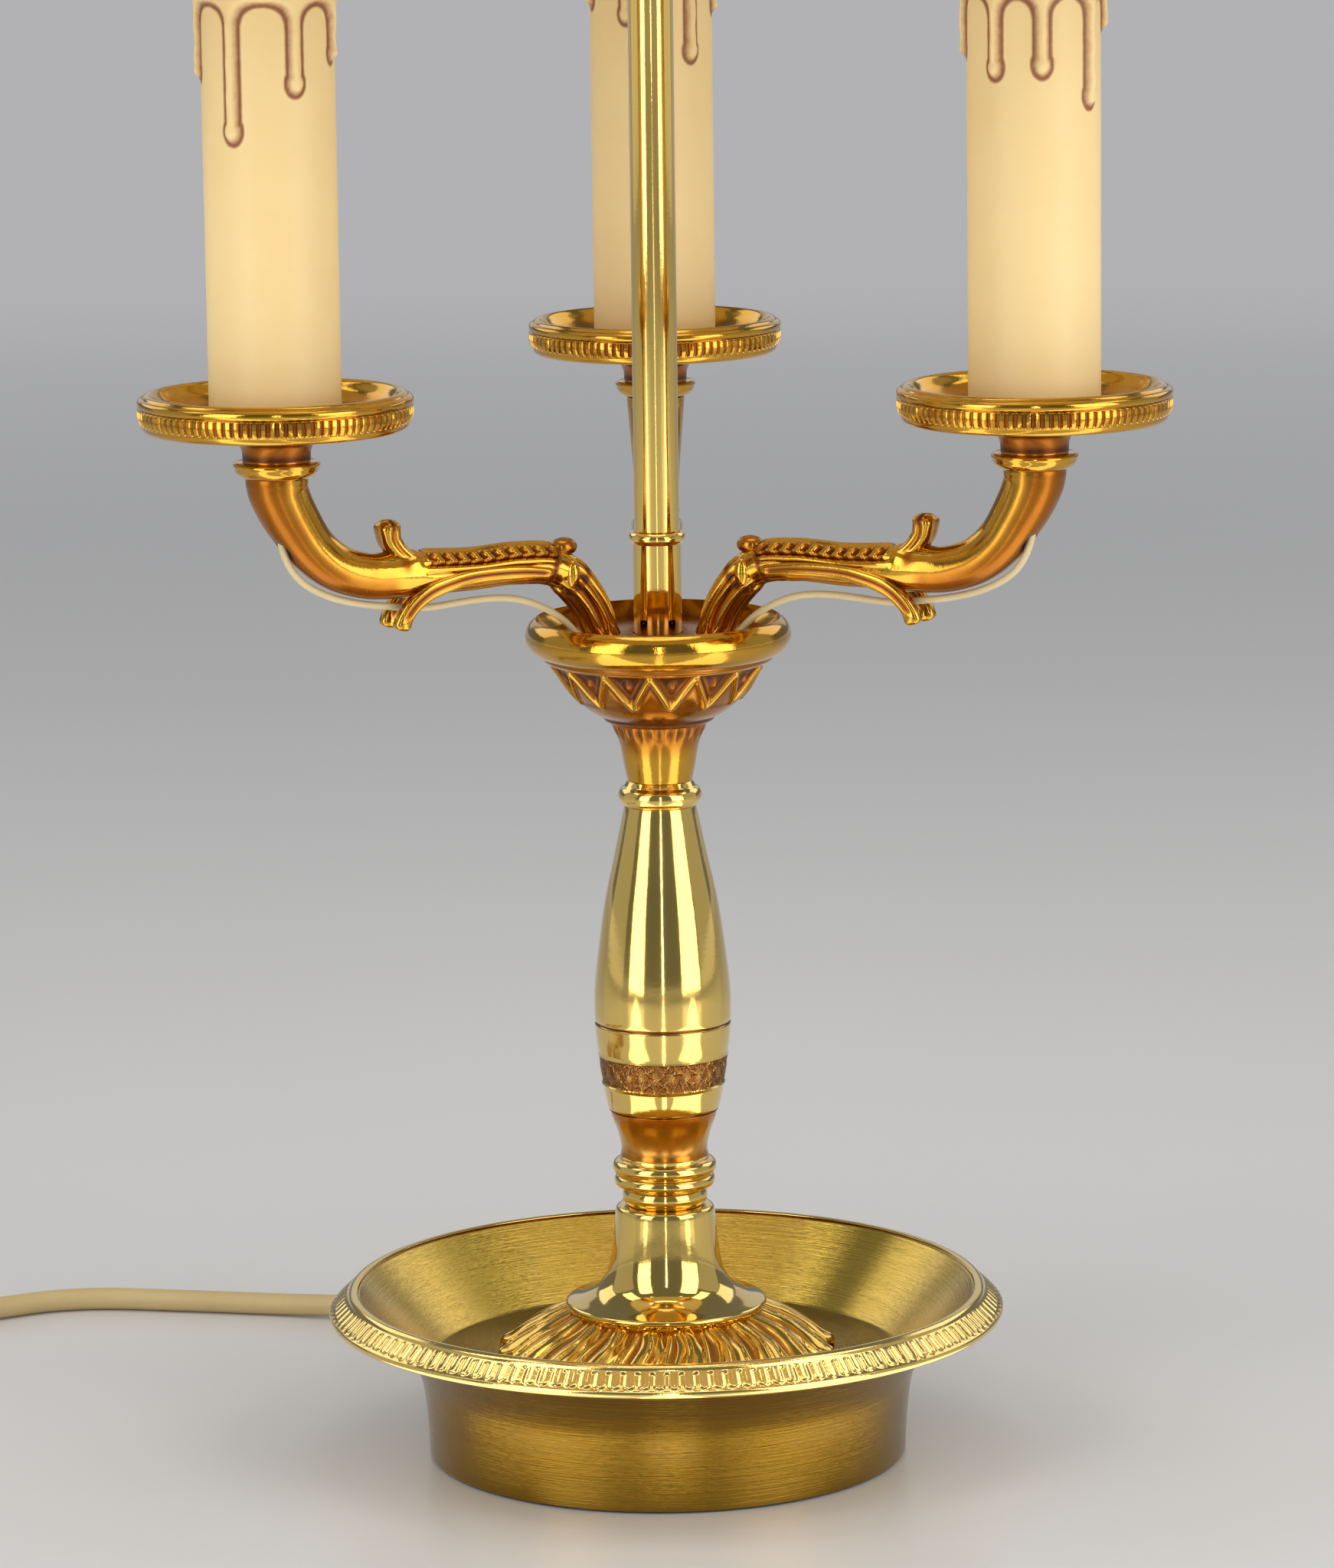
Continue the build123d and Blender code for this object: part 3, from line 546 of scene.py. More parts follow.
def flexible(name, route, radius, material, nodes):
    """A round cord along one NURBS line whose control points are the route."""
    data = bpy.data.curves.new(name, "CURVE")
    data.dimensions = "3D"
    spline = data.splines.new("NURBS")
    spline.points.add(len(route) - 1)
    for point, place in zip(spline.points, route):
        point.co = (*(np.array(place) * MM), 1.0)
    spline.order_u = 3
    spline.use_endpoint_u = True
    spline.resolution_u = 10
    data.bevel_depth = radius * MM
    data.bevel_resolution = 6
    data.use_fill_caps = True
    return add_piece(name, data, material, "lamp", nodes)


mains_cord = flexible(
    "mains_cord", cord_route, CORD_RADIUS, CORD, ["cord_lead", "cord_bend", "cord_coil", "cord_tail"]
)

# --- base ---
COLUMN_BORE = 4.6


def skin(node, outline, material, bore=COLUMN_BORE, **more):
    """A turned piece on the column's axis in the place of one node."""
    return spin(f"{node}_skin", outline, material, nodes=[node], bore=bore, **more)


skin(
    "base_drum",
    chain(
        curve((51.2, 0.4), (51.6, 8), (52.6, 16), (54, 19.8), (56.5, 23.6), (59.5, 27.25)),
        line((51.65, 19), (51.2, 19), (49.8, 0.4)),
    ),
    SHADED_DRUM, bore=None, turns=192, loop=True, edge=0.25,
)
dish_outline = line((47, 19), (51.6, 19), (66.87, 35.17), (66, 36), (51, 20.2), (47, 20.2))
skin("dish", dish_outline, SATIN, turns=192, edge=0.7)

RIM_BAND = np.array([(72.2, 31.9), (68.4, 35.4)])
RIM_TONGUES = 144


def rim_relief(angle, outline):
    """Small rounded tongues on the sloping band: domes with a half-round foot, and gaps 0.2 mm
    deep between them, toned darker."""
    low, high = RIM_BAND
    way = (high - low) / np.hypot(*(high - low))
    along = (outline - low) @ way
    off = np.abs((outline - low) @ np.array([-way[1], way[0]]))
    on_band = between(along, 0.25, 0.6, 4.5, 4.9) * (off < 1.2)
    pitch = TURN * 70.4 / RIM_TONGUES
    across = repeat(angle, RIM_TONGUES) * pitch
    foot = np.minimum(along - 1.75, 0.0)
    reach = np.hypot(across, foot) / (0.42 * pitch)
    tongue = 1 - ramp(reach, 0.72, 1)
    heart = 0.3 * gauss(across, 0.28) * ramp(along, 1.2, 2.4)
    tone = np.maximum(1 - tongue, heart * 1.4) * 0.24
    return on_band * (tongue * 0.24 - 0.2 - heart * 0.3), on_band * tone


rim_outline = chain(
    line((67, 31.9), (68.7, 31)),
    bead((68.7, 31), (70.6, 30.3), 0.55, steps=8),
    bead((70.8, 30.5), (72.2, 31.9), 0.8),
    np.linspace(0.98 * RIM_BAND[0] + 0.02 * RIM_BAND[1], 0.02 * RIM_BAND[0] + 0.98 * RIM_BAND[1], 16),
    bead((68.4, 35.4), (66.1, 36.3), 0.6, steps=9),
    line((66.1, 36.3), (66.95, 35.3)),
)
spin("rim_skin", rim_outline, PALE_CAST, nodes=["rim_moulding"], turns=RIM_TONGUES * 8, relief=rim_relief,
     loop=True, edge=0.12)

LEAVES = 20


def rosette_relief(angle, outline):
    """Acanthus leaves: each broad leaf is a dome with a sunk vein, side veins that slant out to
    its edge and a curled, rounded tip; a narrow leaning leaf fills each gap."""
    path = np.concatenate([[0], np.cumsum(np.hypot(*np.diff(outline, axis=0).T))])
    start = path[np.argmin(np.hypot(*(outline - [36.5, 21.2]).T))]
    s = np.clip((path - start) / 19.0, 0, 1)
    on_top = ramp(path - start, -0.6, 0.2) * (outline[:, 1] < 31.75)
    u = repeat(angle, LEAVES) + 0.1 * np.sin(TURN * (s * 0.9 + 0.1))
    broad_width = 0.41 - 0.08 * s
    tip = np.sqrt(np.clip(s * 5.5, 0, 1))
    broad = np.clip(1 - (np.abs(u) / (broad_width * np.clip(tip, 0.35, 1))) ** 2, 0, 1) ** 0.6
    side = 0.5 + 0.5 * np.cos(TURN * (s * 2.6 - np.abs(u) * 3.0))
    vein = gauss(u, 0.035)
    lean = repeat(angle, LEAVES, 0.5) + 0.09 * np.sin(TURN * s * 0.8)
    narrow = np.clip(1 - (lean / 0.11) ** 2, 0, 1) * ramp(s, 0.03, 0.2) * (1 - 0.5 * s)
    curl = gauss(s - 0.09, 0.08)
    height = broad * (1.1 + 0.8 * curl - 0.05 * side - 0.35 * vein) + narrow * (0.85 + 0.3 * curl) - 1.05
    face = ramp(broad, 0.1, 0.75) * (1 - 0.06 * side) * (1 - 0.5 * vein)
    cover = np.maximum(face, ramp(narrow, 0.1, 0.6))
    return height * on_top * (1 - 0.35 * ramp(s, 0.75, 1)), on_top * (1 - cover) * 0.66


rosette_outline = chain(
    line((34.9, 20.2), (36.5, 21.2)),
    curve((36.5, 21.2), (34.5, 24), (28.8, 28.1), (21, 31.75), steps=16),
)
skin("leaf_rosette", rosette_outline, LEAF_CAST, turns=LEAVES * 42, relief=rosette_relief, edge=0.15)

# --- column ---
skin(
    "foot",
    chain(
        bead((20.7, 31.8), (20.9, 33.4), 0.75),
        curve((20.9, 33.4), (17.8, 34.4), (14.8, 36.2), (12.9, 38.8), (11.9, 42), (11.2, 47),
              (10.6, 53)),
        bead((10.6, 53), (9.4, 54.1), 0.35, steps=6),
    ),
    POLISHED,
)
skin("foot_ring", bead((8.1, 54.1), (8.3, 58.2), 0.95), POLISHED)
skin(
    "double_knop",
    chain(
        bead((9.1, 58.2), (9.8, 61), 1.35),
        bead((9.8, 61), (9.4, 64.2), 1.55),
        line((9.4, 64.2), (9.5, 65)),
    ),
    POLISHED,
)


def cup_tint(angle, outline):
    """Shallow upright flutes, toned amber, darkest at the top and the foot."""
    flute = 0.5 + 0.5 * np.cos(angle * 20)
    ends = ramp(np.abs(outline[:, 1] - 70.0), 1, 5)
    return -0.05 * flute * (1 - ends), 0.5 + 0.08 * flute + 0.35 * ends


skin(
    "vase_cup",
    curve((9.4, 65), (9.2, 66.9), (9.9, 70.2), (11, 73.2), (11.5, 75)),
    AMBER, turns=200, relief=cup_tint,
)


FRIEZE_LEAVES = 26


def vase_relief(angle, outline):
    """A chased frieze of two rows of small crossed leaves between two raised edges, and a fine
    engraved line above it."""
    z = outline[:, 1]
    on = between(z, 81, 81.3, 86.9, 87.2)
    row = (z - 81.1) / 6.0
    sway = 0.12 * np.sin(angle * 11 + 2.0 * row) + 0.1 * np.sin(angle * 29 - 5.0 * row)
    zigzag = np.abs(repeat(angle, FRIEZE_LEAVES) * 2) - np.abs(((row * 2 + sway) % 1.0) * 2 - 1) + sway
    cross = gauss(zigzag, 0.24) * (0.75 + 0.25 * np.sin(angle * 17 + row * 9))
    seed = gauss(repeat(angle, FRIEZE_LEAVES, 0.5) * 4.5, 1) * gauss((row - 0.5) * 4.2, 1)
    stipple = 0.5 + 0.5 * np.sin(angle * 183 + 3 * np.sin(z * 7)) * np.sin(z * 9 + np.cos(angle * 91))
    edges = gauss(z - 80.9, 0.22) + gauss(z - 87.3, 0.22)
    engraved = gauss(z - 94.3, 0.28) + gauss(z - 75.2, 0.25)
    figure = np.maximum(cross, seed)
    height = on * (0.2 * figure - 0.34 + 0.14 * stipple) + 0.16 * edges - 0.3 * engraved
    recess = on * (1.0 - 0.26 * figure - 0.14 * stipple) + engraved * (1 - on)
    return height, np.clip(recess, 0, 1)


vase_outline = chain(
    curve((11.8, 75), (12.4, 77.6), (13, 80.8), steps=10),
    curve((13, 80.8), (13.5, 84.1), (13.9, 87.4), steps=22),
    curve((13.9, 87.4), (14.3, 90.4), (14.55, 93.7), steps=7),
    np.linspace((14.57, 93.8), (14.57, 94.8), 9),
    curve((14.6, 94.9), (14.55, 101), (13.7, 109), (12.1, 120), (9.9, 130.2), (7.6, 141), steps=6),
)
skin("vase", vase_outline, POLISHED_CHASED, turns=740, relief=vase_relief)
collar = chain(bead((7.6, 141), (7.6, 145.2), 1.3), line((7.6, 145.2), (6.9, 146.4)))
skin("vase_collar", collar, POLISHED)

CUP_LEAVES = 14
CUP_PHASE = 0.688


def cup_relief(angle, outline):
    """A row of ridged Vs with a sunk dark heart and a pearl in each, and below the ledge a ring of
    short tongues over a plain stem."""
    z = outline[:, 1]
    outside = np.arange(len(z)) < np.argmax(z)
    v = z - 163.7
    pitch = TURN * np.interp(z, [159.7, 165.9, 170.1, 173.6], [11.8, 18.9, 21.6, 24.6]) / CUP_LEAVES
    x = np.abs(repeat(angle, CUP_LEAVES, CUP_PHASE)) * pitch
    from_arm = (x - np.clip(v / 7.6, 0, 1.1) * pitch * 0.5) * 0.86
    on = between(v, -0.6, 0.4, 7.6, 8.2) * outside
    ridge = gauss(from_arm, 0.5) * ramp(v, -0.4, 0.4)
    heart = ramp(-from_arm, 0.55, 1) * ramp(v, 2, 2.8)
    pearl = gauss(x, 0.7) * gauss(v - 5.6, 1)
    side = gauss(from_arm - 1.1, 0.3) * ramp(v, 1, 2.5)
    height = on * (0.5 * ridge - 0.5 * heart + 0.7 * pearl - 0.1 * side)
    inner = gauss(from_arm + 1.5, 0.3) * ramp(v, 2.5, 3.5)
    hollow = 0.5 * heart * (1 - 0.9 * pearl) * (1 - 0.5 * inner)
    dark = np.clip(0.42 * (1 - ridge) + hollow + 0.35 * side, 0, 1)
    ledge = gauss(z - 160.0, 0.4) * outside
    tongue = 0.5 + 0.5 * np.cos(angle * 26)
    tongues = gauss(z - 157.4, 1.3) * outside
    amber = between(z, 148, 156, 163.6, 164.8) * outside
    # Painted shade in the crease under the rim's big bead.
    rim_crease_shade = gauss(z - 172.9, 0.45) * outside
    height = height + tongues * (tongue - 0.5) * 0.35
    recess = on * dark + ledge * 0.8 + tongues * (1 - tongue) * 0.4 + amber * 0.42 + 0.7 * rim_crease_shade
    # The cup's inside below the cover is toned darker as painted shade.
    return height, np.clip(recess + 0.3 * (~outside & (z < 178)), 0, 1)


cup_outline = chain(
    curve((6.9, 146.4), (7.6, 149.8), (8.5, 154.6), (10.1, 158.8), steps=8),
    line((10.1, 158.8), (11.4, 159.3), (11.9, 160)),
    curve((11.9, 160.1), (15.4, 162.2), (18.9, 165.9), (21.6, 170.1), (23.2, 172), steps=14),
    bead((23.2, 172.1), (24.5, 173.2), 0.4, steps=6),
    bead((24.5, 173.3), (25.9, 181.2), 2.9, steps=18),
    line((25.9, 181.2), (24.2, 178.1), (23.4, 175.9), (20.4, 170.4), (14, 163.4)),
)
skin("arm_cup", cup_outline, CAST, turns=CUP_LEAVES * 46, relief=cup_relief, edge=0.12)


def cover_tint(angle, outline):
    """Plain, toned darker towards its middle."""
    return 0.0 * angle, 0.25 + 0.4 * (1 - ramp(outline[:, 0], 6, 16))


skin("cup_cover", line((23.2, 176), (24, 178)), CAST, bore=5.2, relief=cover_tint)
skin(
    "rod_socket",
    chain(line((5.1, 170), (5.1, 197)), bead((5.1, 197), (5.3, 199.5), 0.8)),
    POLISHED, bore=3.35, edge=0.15,
)
skin("rod", line((4.75, 199.5), (4.75, 500), (3, 500), (3, 512)), POLISHED, bore=2.2, edge=0.3)


# --- arms ---
def around(points, azimuth):
    """Points turned from the +X azimuth to another."""
    a = math.radians(azimuth)
    x, y, z = np.moveaxis(points, -1, 0)
    return np.stack([x * math.cos(a) - y * math.sin(a), x * math.sin(a) + y * math.cos(a), z], axis=-1)


def along(knots, count):
    """A smooth curve through knots, as count rows evenly spaced along it, and the distances."""
    fine = curve(*knots, steps=40)
    steps = np.linalg.norm(np.diff(fine[:, :2], axis=0), axis=1)
    run = np.concatenate([[0], np.cumsum(steps)])
    s = np.linspace(0, run[-1], count)
    return np.stack([np.interp(s, run, column) for column in fine.T], axis=1), s


def swept(knots, count, around_count, relief=None, round_ends=(0, 0), square=2.0):
    """A casting swept along knots of (out, height, half width, half depth, sideways); sideways may
    be left out where it is 0.

    Each section is a superellipse across the path, |x/w|^p + |y/d|^p = 1 with p = square, moved
    along its own normal by relief. round_ends are the lengths over which the ends close in as a
    quarter of an ellipse. Returns the points, the faces and the recess.
    """
    rows, s = along([(*knot, 0)[:5] for knot in knots], count)
    out, height, wide, deep, side = rows.T[..., None]
    tangent = np.gradient(rows[:, :2], axis=0)
    tangent /= np.hypot(*tangent.T)[:, None]
    up_out, up_z = -tangent[:, 1:2], tangent[:, 0:1]
    phi = np.linspace(0, TURN, around_count, endpoint=False)[None, :]
    cosine, sine = np.cos(phi), np.sin(phi)
    x = np.sign(cosine) * np.abs(cosine) ** (2 / square)
    y = np.sign(sine) * np.abs(sine) ** (2 / square)
    close = np.ones_like(out)
    s = s[:, None]
    for length, distance in zip(round_ends, (s, s[-1] - s)):
        if length:
            close *= np.sqrt(np.clip(1 - (1 - np.clip(distance / length, 0, 1)) ** 2, 0, 1))
    lift, recess = relief(out, s, phi) if relief else (0 * phi * s, 0 * phi * s)
    lift = lift * close
    norm_x, norm_y = cosine / wide, sine / deep
    size = np.hypot(norm_x, norm_y)
    across = side + close * wide * x + lift * norm_x / size
    upward = close * deep * y + lift * norm_y / size
    points = np.stack([out + upward * up_out, across + 0 * out, height + upward * up_z], axis=-1)
    ends = [np.broadcast_to(points[i].mean(axis=0), points[i].shape) for i in (0, -1)]
    points = np.concatenate([ends[0][None], points, ends[1][None]])
    recess = np.broadcast_to(recess, (count, around_count))
    recess = np.concatenate([recess[:1], recess, recess[-1:]])
    return points, grid_faces(count + 2, around_count, False, True)[:, ::-1], recess


def ball(centre, radii, tone, count=28):
    """An ellipsoid as a grid, with one recess value."""
    lat = np.linspace(-math.pi / 2, math.pi / 2, count)[:, None]
    lon = np.linspace(0, TURN, 2 * count, endpoint=False)[None, :]
    unit = np.stack([np.cos(lat) * np.cos(lon), np.cos(lat) * np.sin(lon), np.sin(lat) + 0 * lon], axis=-1)
    faces = grid_faces(count, 2 * count, False, True)[:, ::-1]
    return np.array(centre) + unit * radii, faces, np.full((count, 2 * count), tone)


def join(parts):
    """Several grids as one set of points, faces and recess values."""
    sizes = np.cumsum([0] + [p[0].reshape(-1, 3).shape[0] for p in parts])
    points = np.vstack([p[0].reshape(-1, 3) for p in parts])
    faces = np.vstack([p[1] + size for p, size in zip(parts, sizes)])
    return points, faces, np.concatenate([p[2].ravel() for p in parts])


def body_relief(out, s, phi):
    """The arm's chasing by distance out and angle from its top: fluted root, knuckle, scaled
    back with dark notches and a band below it, smooth horn. Its underside, the horn's underside,
    the place where the leaf's curl lifts off its top and the wire's slot are toned dark as
    painted shade."""
    psi = np.abs(wrap(np.degrees(phi) - 90))
    middle = between(out, 25.5, 27.5, 55, 58.5) * (s > 12)
    tooth = ramp(0.5 + 0.5 * np.cos(TURN * ((out - 27.0) / 3.05 + (psi - 30) / 40 * 0.35)), 0.2, 0.7)
    row = between(psi, 22, 29, 58, 63)
    notch = row * (1 - tooth) * (1 - ramp(psi, 46, 57))
    scales = 0.6 * row * tooth + 0.25 * row * ramp(psi, 48, 56)
    height = middle * (scales + 0.6 * gauss(psi, 13) - 0.5 * notch)
    recess = middle * (0.95 * notch + 0.35 * gauss(psi - 20, 5))
    groove = gauss(psi - 63, 3.5) + 0.7 * gauss(psi - 87, 3)
    height = height - middle * groove * 0.35 + middle * 0.5 * gauss(psi - 75, 7)
    recess = np.maximum(recess, middle * groove * 0.85)
    # Painted shade: the arm's underside is toned darker.
    under = ramp(psi, 92, 110)
    recess = np.maximum(recess, middle * under * 0.32)
    early = 1 - ramp(s, 16, 19)
    recess = recess + 0.75 * gauss(s - 22.0, 0.8) + 0.6 * gauss(s - 14.6, 0.9)
    flute = 0.5 + 0.5 * np.cos(phi * 10)
    height = height + early * (flute - 0.5) * 0.9 * ramp(s, 1, 4)
    recess = recess + early * (1 - ramp(flute, 0.2, 0.7)) * 0.6
    leaf_foot = gauss(out - 59.0, 1.6) * (1 - ramp(psi, 45, 80)) * (s > 30)
    height = height + 0.5 * leaf_foot
    horn = ramp(out, 60, 66)
    # Painted shade where the leaf's curl lifts off the arm's top.
    recess = recess + 0.5 * gauss(out - 61.6, 1.3) * (1 - ramp(psi, 60, 95)) * (s > 30)
    # The horn is toned darker amber all round, and darker again towards its underside as painted shade.
    recess = recess + horn * (0.2 + 0.34 * ramp(psi, 65, 135))
    # Painted shade: the wire's slot is a shallow dent toned dark.
    slot = gauss(s - (s[-1] - 13.6), 1.8) * ramp(psi, 154, 168)
    return height - 0.9 * slot, np.clip(recess + slot, 0, 1)


def strap_relief(out, s, phi):
    """A flat strap with a sunk line along its outer face and its top."""
    psi = np.degrees(phi)
    sunk = gauss(wrap(psi), 14) + gauss(psi - 180, 14) + 0.7 * gauss(psi - 90, 14)
    sunk = sunk * ramp(s, 1, 3) * ramp(s[-1] - s, 1.5, 4)
    return -0.3 * sunk, np.clip(0.8 * sunk + 0.12, 0, 1)


def leaf_relief(out, s, phi):
    """A leaf with a sunk vein on both faces and darker hollows beside it."""
    psi = np.abs(wrap(np.degrees(phi) - 90))
    vein = gauss(psi, 12) + gauss(180 - psi, 20)
    valley = gauss(psi - 88, 17) * ramp(s, 5, 9)
    end = ramp(s[-1] - s, 0.5, 3.5)
    dimple = valley * (1 - ramp(s[-1] - s, 1.5, 4))
    return -(0.25 * vein + 0.45 * valley) * end, np.clip(0.45 * vein + 0.5 * valley + 0.5 * dimple, 0, 1)


ARM_KNOTS = [
    (13.2, 178, 4.3, 3.6), (17.4, 186.8, 4.2, 3.7), (24.5, 193.8, 4.2, 4.2), (34, 195.2, 4.2, 4.3),
    (45, 194.9, 4.3, 4.3), (55, 195.2, 4.7, 4.6), (62.5, 195.4, 4.9, 4.9), (69, 195.8, 4.8, 4.8),
    (76, 198.2, 4.9, 4.9), (81.6, 202.7, 5.2, 5.2), (86.2, 209.4, 5.8, 5.8), (88.5, 214.2, 6.2, 6.2),
    (89, 216.6, 6.4, 6.4), (89, 217.6, 6.45, 6.45),
]
CURL_KNOTS = [
    (53.6, 197.3, 3.9, 1), (57.8, 198, 3.7, 1.4), (61.2, 199.7, 3.3, 2), (63.3, 202.2, 3, 2.3),
    (63.9, 204.4, 3.1, 2.5), (64, 205.8, 3.2, 2.7), (64.1, 207.2, 3.1, 2.6),
]
STRAP_KNOTS = [
    (26.8, 193.2, 1, 1.2, 3.9), (35, 194.2, 1.1, 1.5, 4.2), (45, 194.3, 1.2, 1.55, 4.3),
    (51.5, 193.4, 1.3, 1.7, 4.4), (56.6, 191.8, 1.4, 1.8, 4.1), (60, 189.4, 1.5, 1.8, 3.6),
    (61.9, 186.8, 1.5, 1.8, 3.2), (62.9, 184, 1.5, 2, 3),
]
casting = [
    swept(ARM_KNOTS, 480, 80, body_relief),
    swept(CURL_KNOTS, 90, 48, leaf_relief, (1, 2.2), square=2.3),
    ball((22.6, 0, 198), (3, 2.6, 2), 0.42),
    ball((22.4, 3.5, 192.6), (1.6, 1.7, 3.1), 0.12),
    ball((22.4, -3.5, 192.6), (1.6, 1.7, 3.1), 0.12),
]
for side in (1, -1):
    knots = [(*k[:4], side * k[4]) for k in STRAP_KNOTS]
    casting.append(swept(knots, 120, 28, strap_relief, (2, 1.2), square=2.6))
arm_points, arm_faces, arm_recess = join(casting)

WIRE_RADIUS = 0.75
WIRE_POINTS = [
    (10, 171), (15.5, 174.6), (18.8, 178.3), (22, 182), (26.5, 185.2), (33, 187.9), (39.5, 188.7),
    (46.5, 188.5), (55, 187.8), (62.5, 188.7), (72, 190.2), (79.5, 192.7), (85.4, 196.6), (88.6, 203),
    (89, 212), (89, 222), (89.2, 240),
]

PAN_BORE = 4.1
PAN_RIBS = 96


def pan_relief(angle, outline):
    """Upright rounded ribs round the band, with dark gaps 0.45 mm deep between them."""
    z = outline[:, 1]
    on = between(z, 228.8, 229.3, 232, 232.4) * (outline[:, 0] > 26.6)
    rib = 1 - ramp(np.abs(repeat(angle, PAN_RIBS)), 0.2, 0.4)
    floor = ramp(26.0 - outline[:, 0], 0.5, 3) * (z > 230.5)
    edge = gauss(z - 232.5, 0.2) * (outline[:, 0] > 26.6)
    return on * (rib * 0.5 - 0.45), np.clip(on * (1 - rib) * 0.75 + floor * 0.35 + edge * 0.4, 0, 1)


pan_outline = chain(
    curve((9.3, 225.6), (15, 226.3), (21.5, 227), (25.4, 227.5), steps=4),
    bead((25.4, 227.5), (27.2, 228.8), 0.65, steps=7),
    curve((27.4, 228.9), (28, 230.4), (28, 232.3), steps=8),
    bead((27.7, 232.5), (27.1, 234.4), 0.75, steps=8),
    bead((27.1, 234.4), (25, 234.5), 0.7, steps=8),
    curve((25, 234.5), (23.8, 232.6), (22, 231), steps=5),
)


def thimble_tint(angle, outline):
    """The neck above the ring is toned amber to brown."""
    neck = ramp(outline[:, 1], 221, 221.6)
    return 0.0 * angle, 0.12 + neck * (0.45 + 0.3 * gauss(outline[:, 1] - 221.8, 0.9))


collar_outline = chain(
    curve((6.4, 217.6), (7.5, 218), (8.4, 218.9), (8.75, 219.9), steps=6),
    bead((8.8, 220), (8.5, 220.9), 0.28, steps=8),
    line((8.4, 221), (7, 221.1)),
    curve((6.95, 221.2), (7.1, 223.3), (7.9, 224.8), (9.3, 225.6)),
)

# Wax drips of each candle: degrees from the side that faces the front, lowest point, half width.
DRIPS = {
    "left": [(-29, 286.5, 2.1), (27, 296, 2), (-82, 298.5, 1.7), (72, 302, 1.6), (120, 293, 1.9),
             (165, 300, 1.7), (-140, 290, 2)],
    "right": [(-38, 297.5, 1.9), (4, 298, 2), (52, 291.5, 2), (88, 306, 1.6), (-92, 301, 1.7),
              (135, 294, 2), (178, 299, 1.8), (-140, 288, 2)],
    "rear": [(40, 292.5, 2), (-24, 301, 1.8), (-74, 304, 1.7), (82, 302.5, 1.6), (128, 289, 2.1),
             (172, 297, 1.8), (-128, 294, 2)],
}
WAX = 1.4
CANDLE_RADIUS = 13.5


def smooth_union(a, b, k):
    """The nearer of two distances, blended over k."""
    h = np.clip(0.5 + 0.5 * (b - a) / k, 0, 1)
    return b * (1 - h) + a * h - k * h * (1 - h)


def wax_relief(drips):
    """A layer of wax over the candle's top that runs down in drips with rounded ends; the stain
    follows the layer's edge."""

    def relief(angle, outline):
        z = outline[:, 1]
        degrees = wrap(np.degrees(angle) + 90)
        layer = 314 - z + 0 * angle
        for place, low, half in drips:
            x = wrap(degrees - place) / 360 * TURN * CANDLE_RADIUS
            shaft = np.hypot(x, np.minimum(z - (low + half), 0.0)) - half * 0.8
            drop = np.hypot(x, (z - (low + half * 1.2)) * 0.75) - half
            layer = smooth_union(layer, np.minimum(shaft, drop), 4.6)
        outside = outline[:, 0] > 13.0
        wax = ramp(-layer, -0.1, 1.5) * outside * (1 - 0.6 * ramp(z, 329.6, 331))
        ripple = 0.12 * np.sin(z * 0.9 + 2.0 * np.sin(angle * 3))
        stain = gauss(layer - 0.05, 0.5) * outside
        drain = 0.35 * between(-layer, 0.2, 0.6, 0.8, 1.6) * outside
        return WAX * wax + ripple * wax, np.clip(stain + drain, 0, 1)

    return relief


sleeve_outline = chain(
    np.linspace((CANDLE_RADIUS, 231.0), (CANDLE_RADIUS, 282.0), 12),
    np.linspace((CANDLE_RADIUS, 282.5), (CANDLE_RADIUS, 330.9), 122),
    line((CANDLE_RADIUS, 331.0)),
)
glass_outline = chain(
    line((9, 331.5), (11.6, 331.5)),
    curve((11.6, 331.5), (15.4, 341), (17.5, 356), (13.4, 374), (5.6, 388), (1.9, 395.6),
          (0, 398)),
)
thread = [(6.3 + 0.6 * (0.5 - 0.5 * math.cos(i * math.pi / 4)), 309.0 + i * 0.35) for i in range(57)]
cap_outline = line(
    (0, 304), (3, 304), (4, 306), *thread, (7, 329.2), (9.8, 331.5), (0, 331.5)
)

for name, azimuth in ARM_AZIMUTHS.items():
    a = math.radians(azimuth)
    centre = (ARM_REACH * math.cos(a), ARM_REACH * math.sin(a))
    make_piece(f"{name}_arm_casting", around(arm_points, azimuth), arm_faces, CAST, "lamp", [f"{name}_arm"],
               merge=True, fields={"recess": arm_recess}, sharp=60)
    wire_route = [around(np.array([out, 0, z]), azimuth) for out, z in WIRE_POINTS]
    flexible(f"{name}_wire", wire_route, WIRE_RADIUS, ARM_WIRE, [f"{name}_arm_wire"])
    spin(f"{name}_collar", collar_outline, CAST, nodes=[f"{name}_pan_collar"], bore=PAN_BORE,
         relief=thimble_tint, centre=centre, edge=0.15, turns=96)
    spin(f"{name}_pan", pan_outline, CAST, nodes=[f"{name}_drip_pan"], bore=PAN_BORE, relief=pan_relief,
         centre=centre, turns=PAN_RIBS * 7, edge=0.12)
    spin(f"{name}_candle", sleeve_outline, CANDLE, nodes=[f"{name}_candle_sleeve"], bore=12.1,
         relief=wax_relief(DRIPS[name]), centre=centre, turns=200, edge=0.2)
    spin(f"{name}_bulb", glass_outline, OPAL, nodes=[f"{name}_bulb_glass"], centre=centre, turns=96,
         open_low=True)
    spin(f"{name}_bulb_cap", cap_outline, NICKEL, nodes=["bulb_caps"], centre=centre, turns=72,
         open_low=True, edge=0.1)

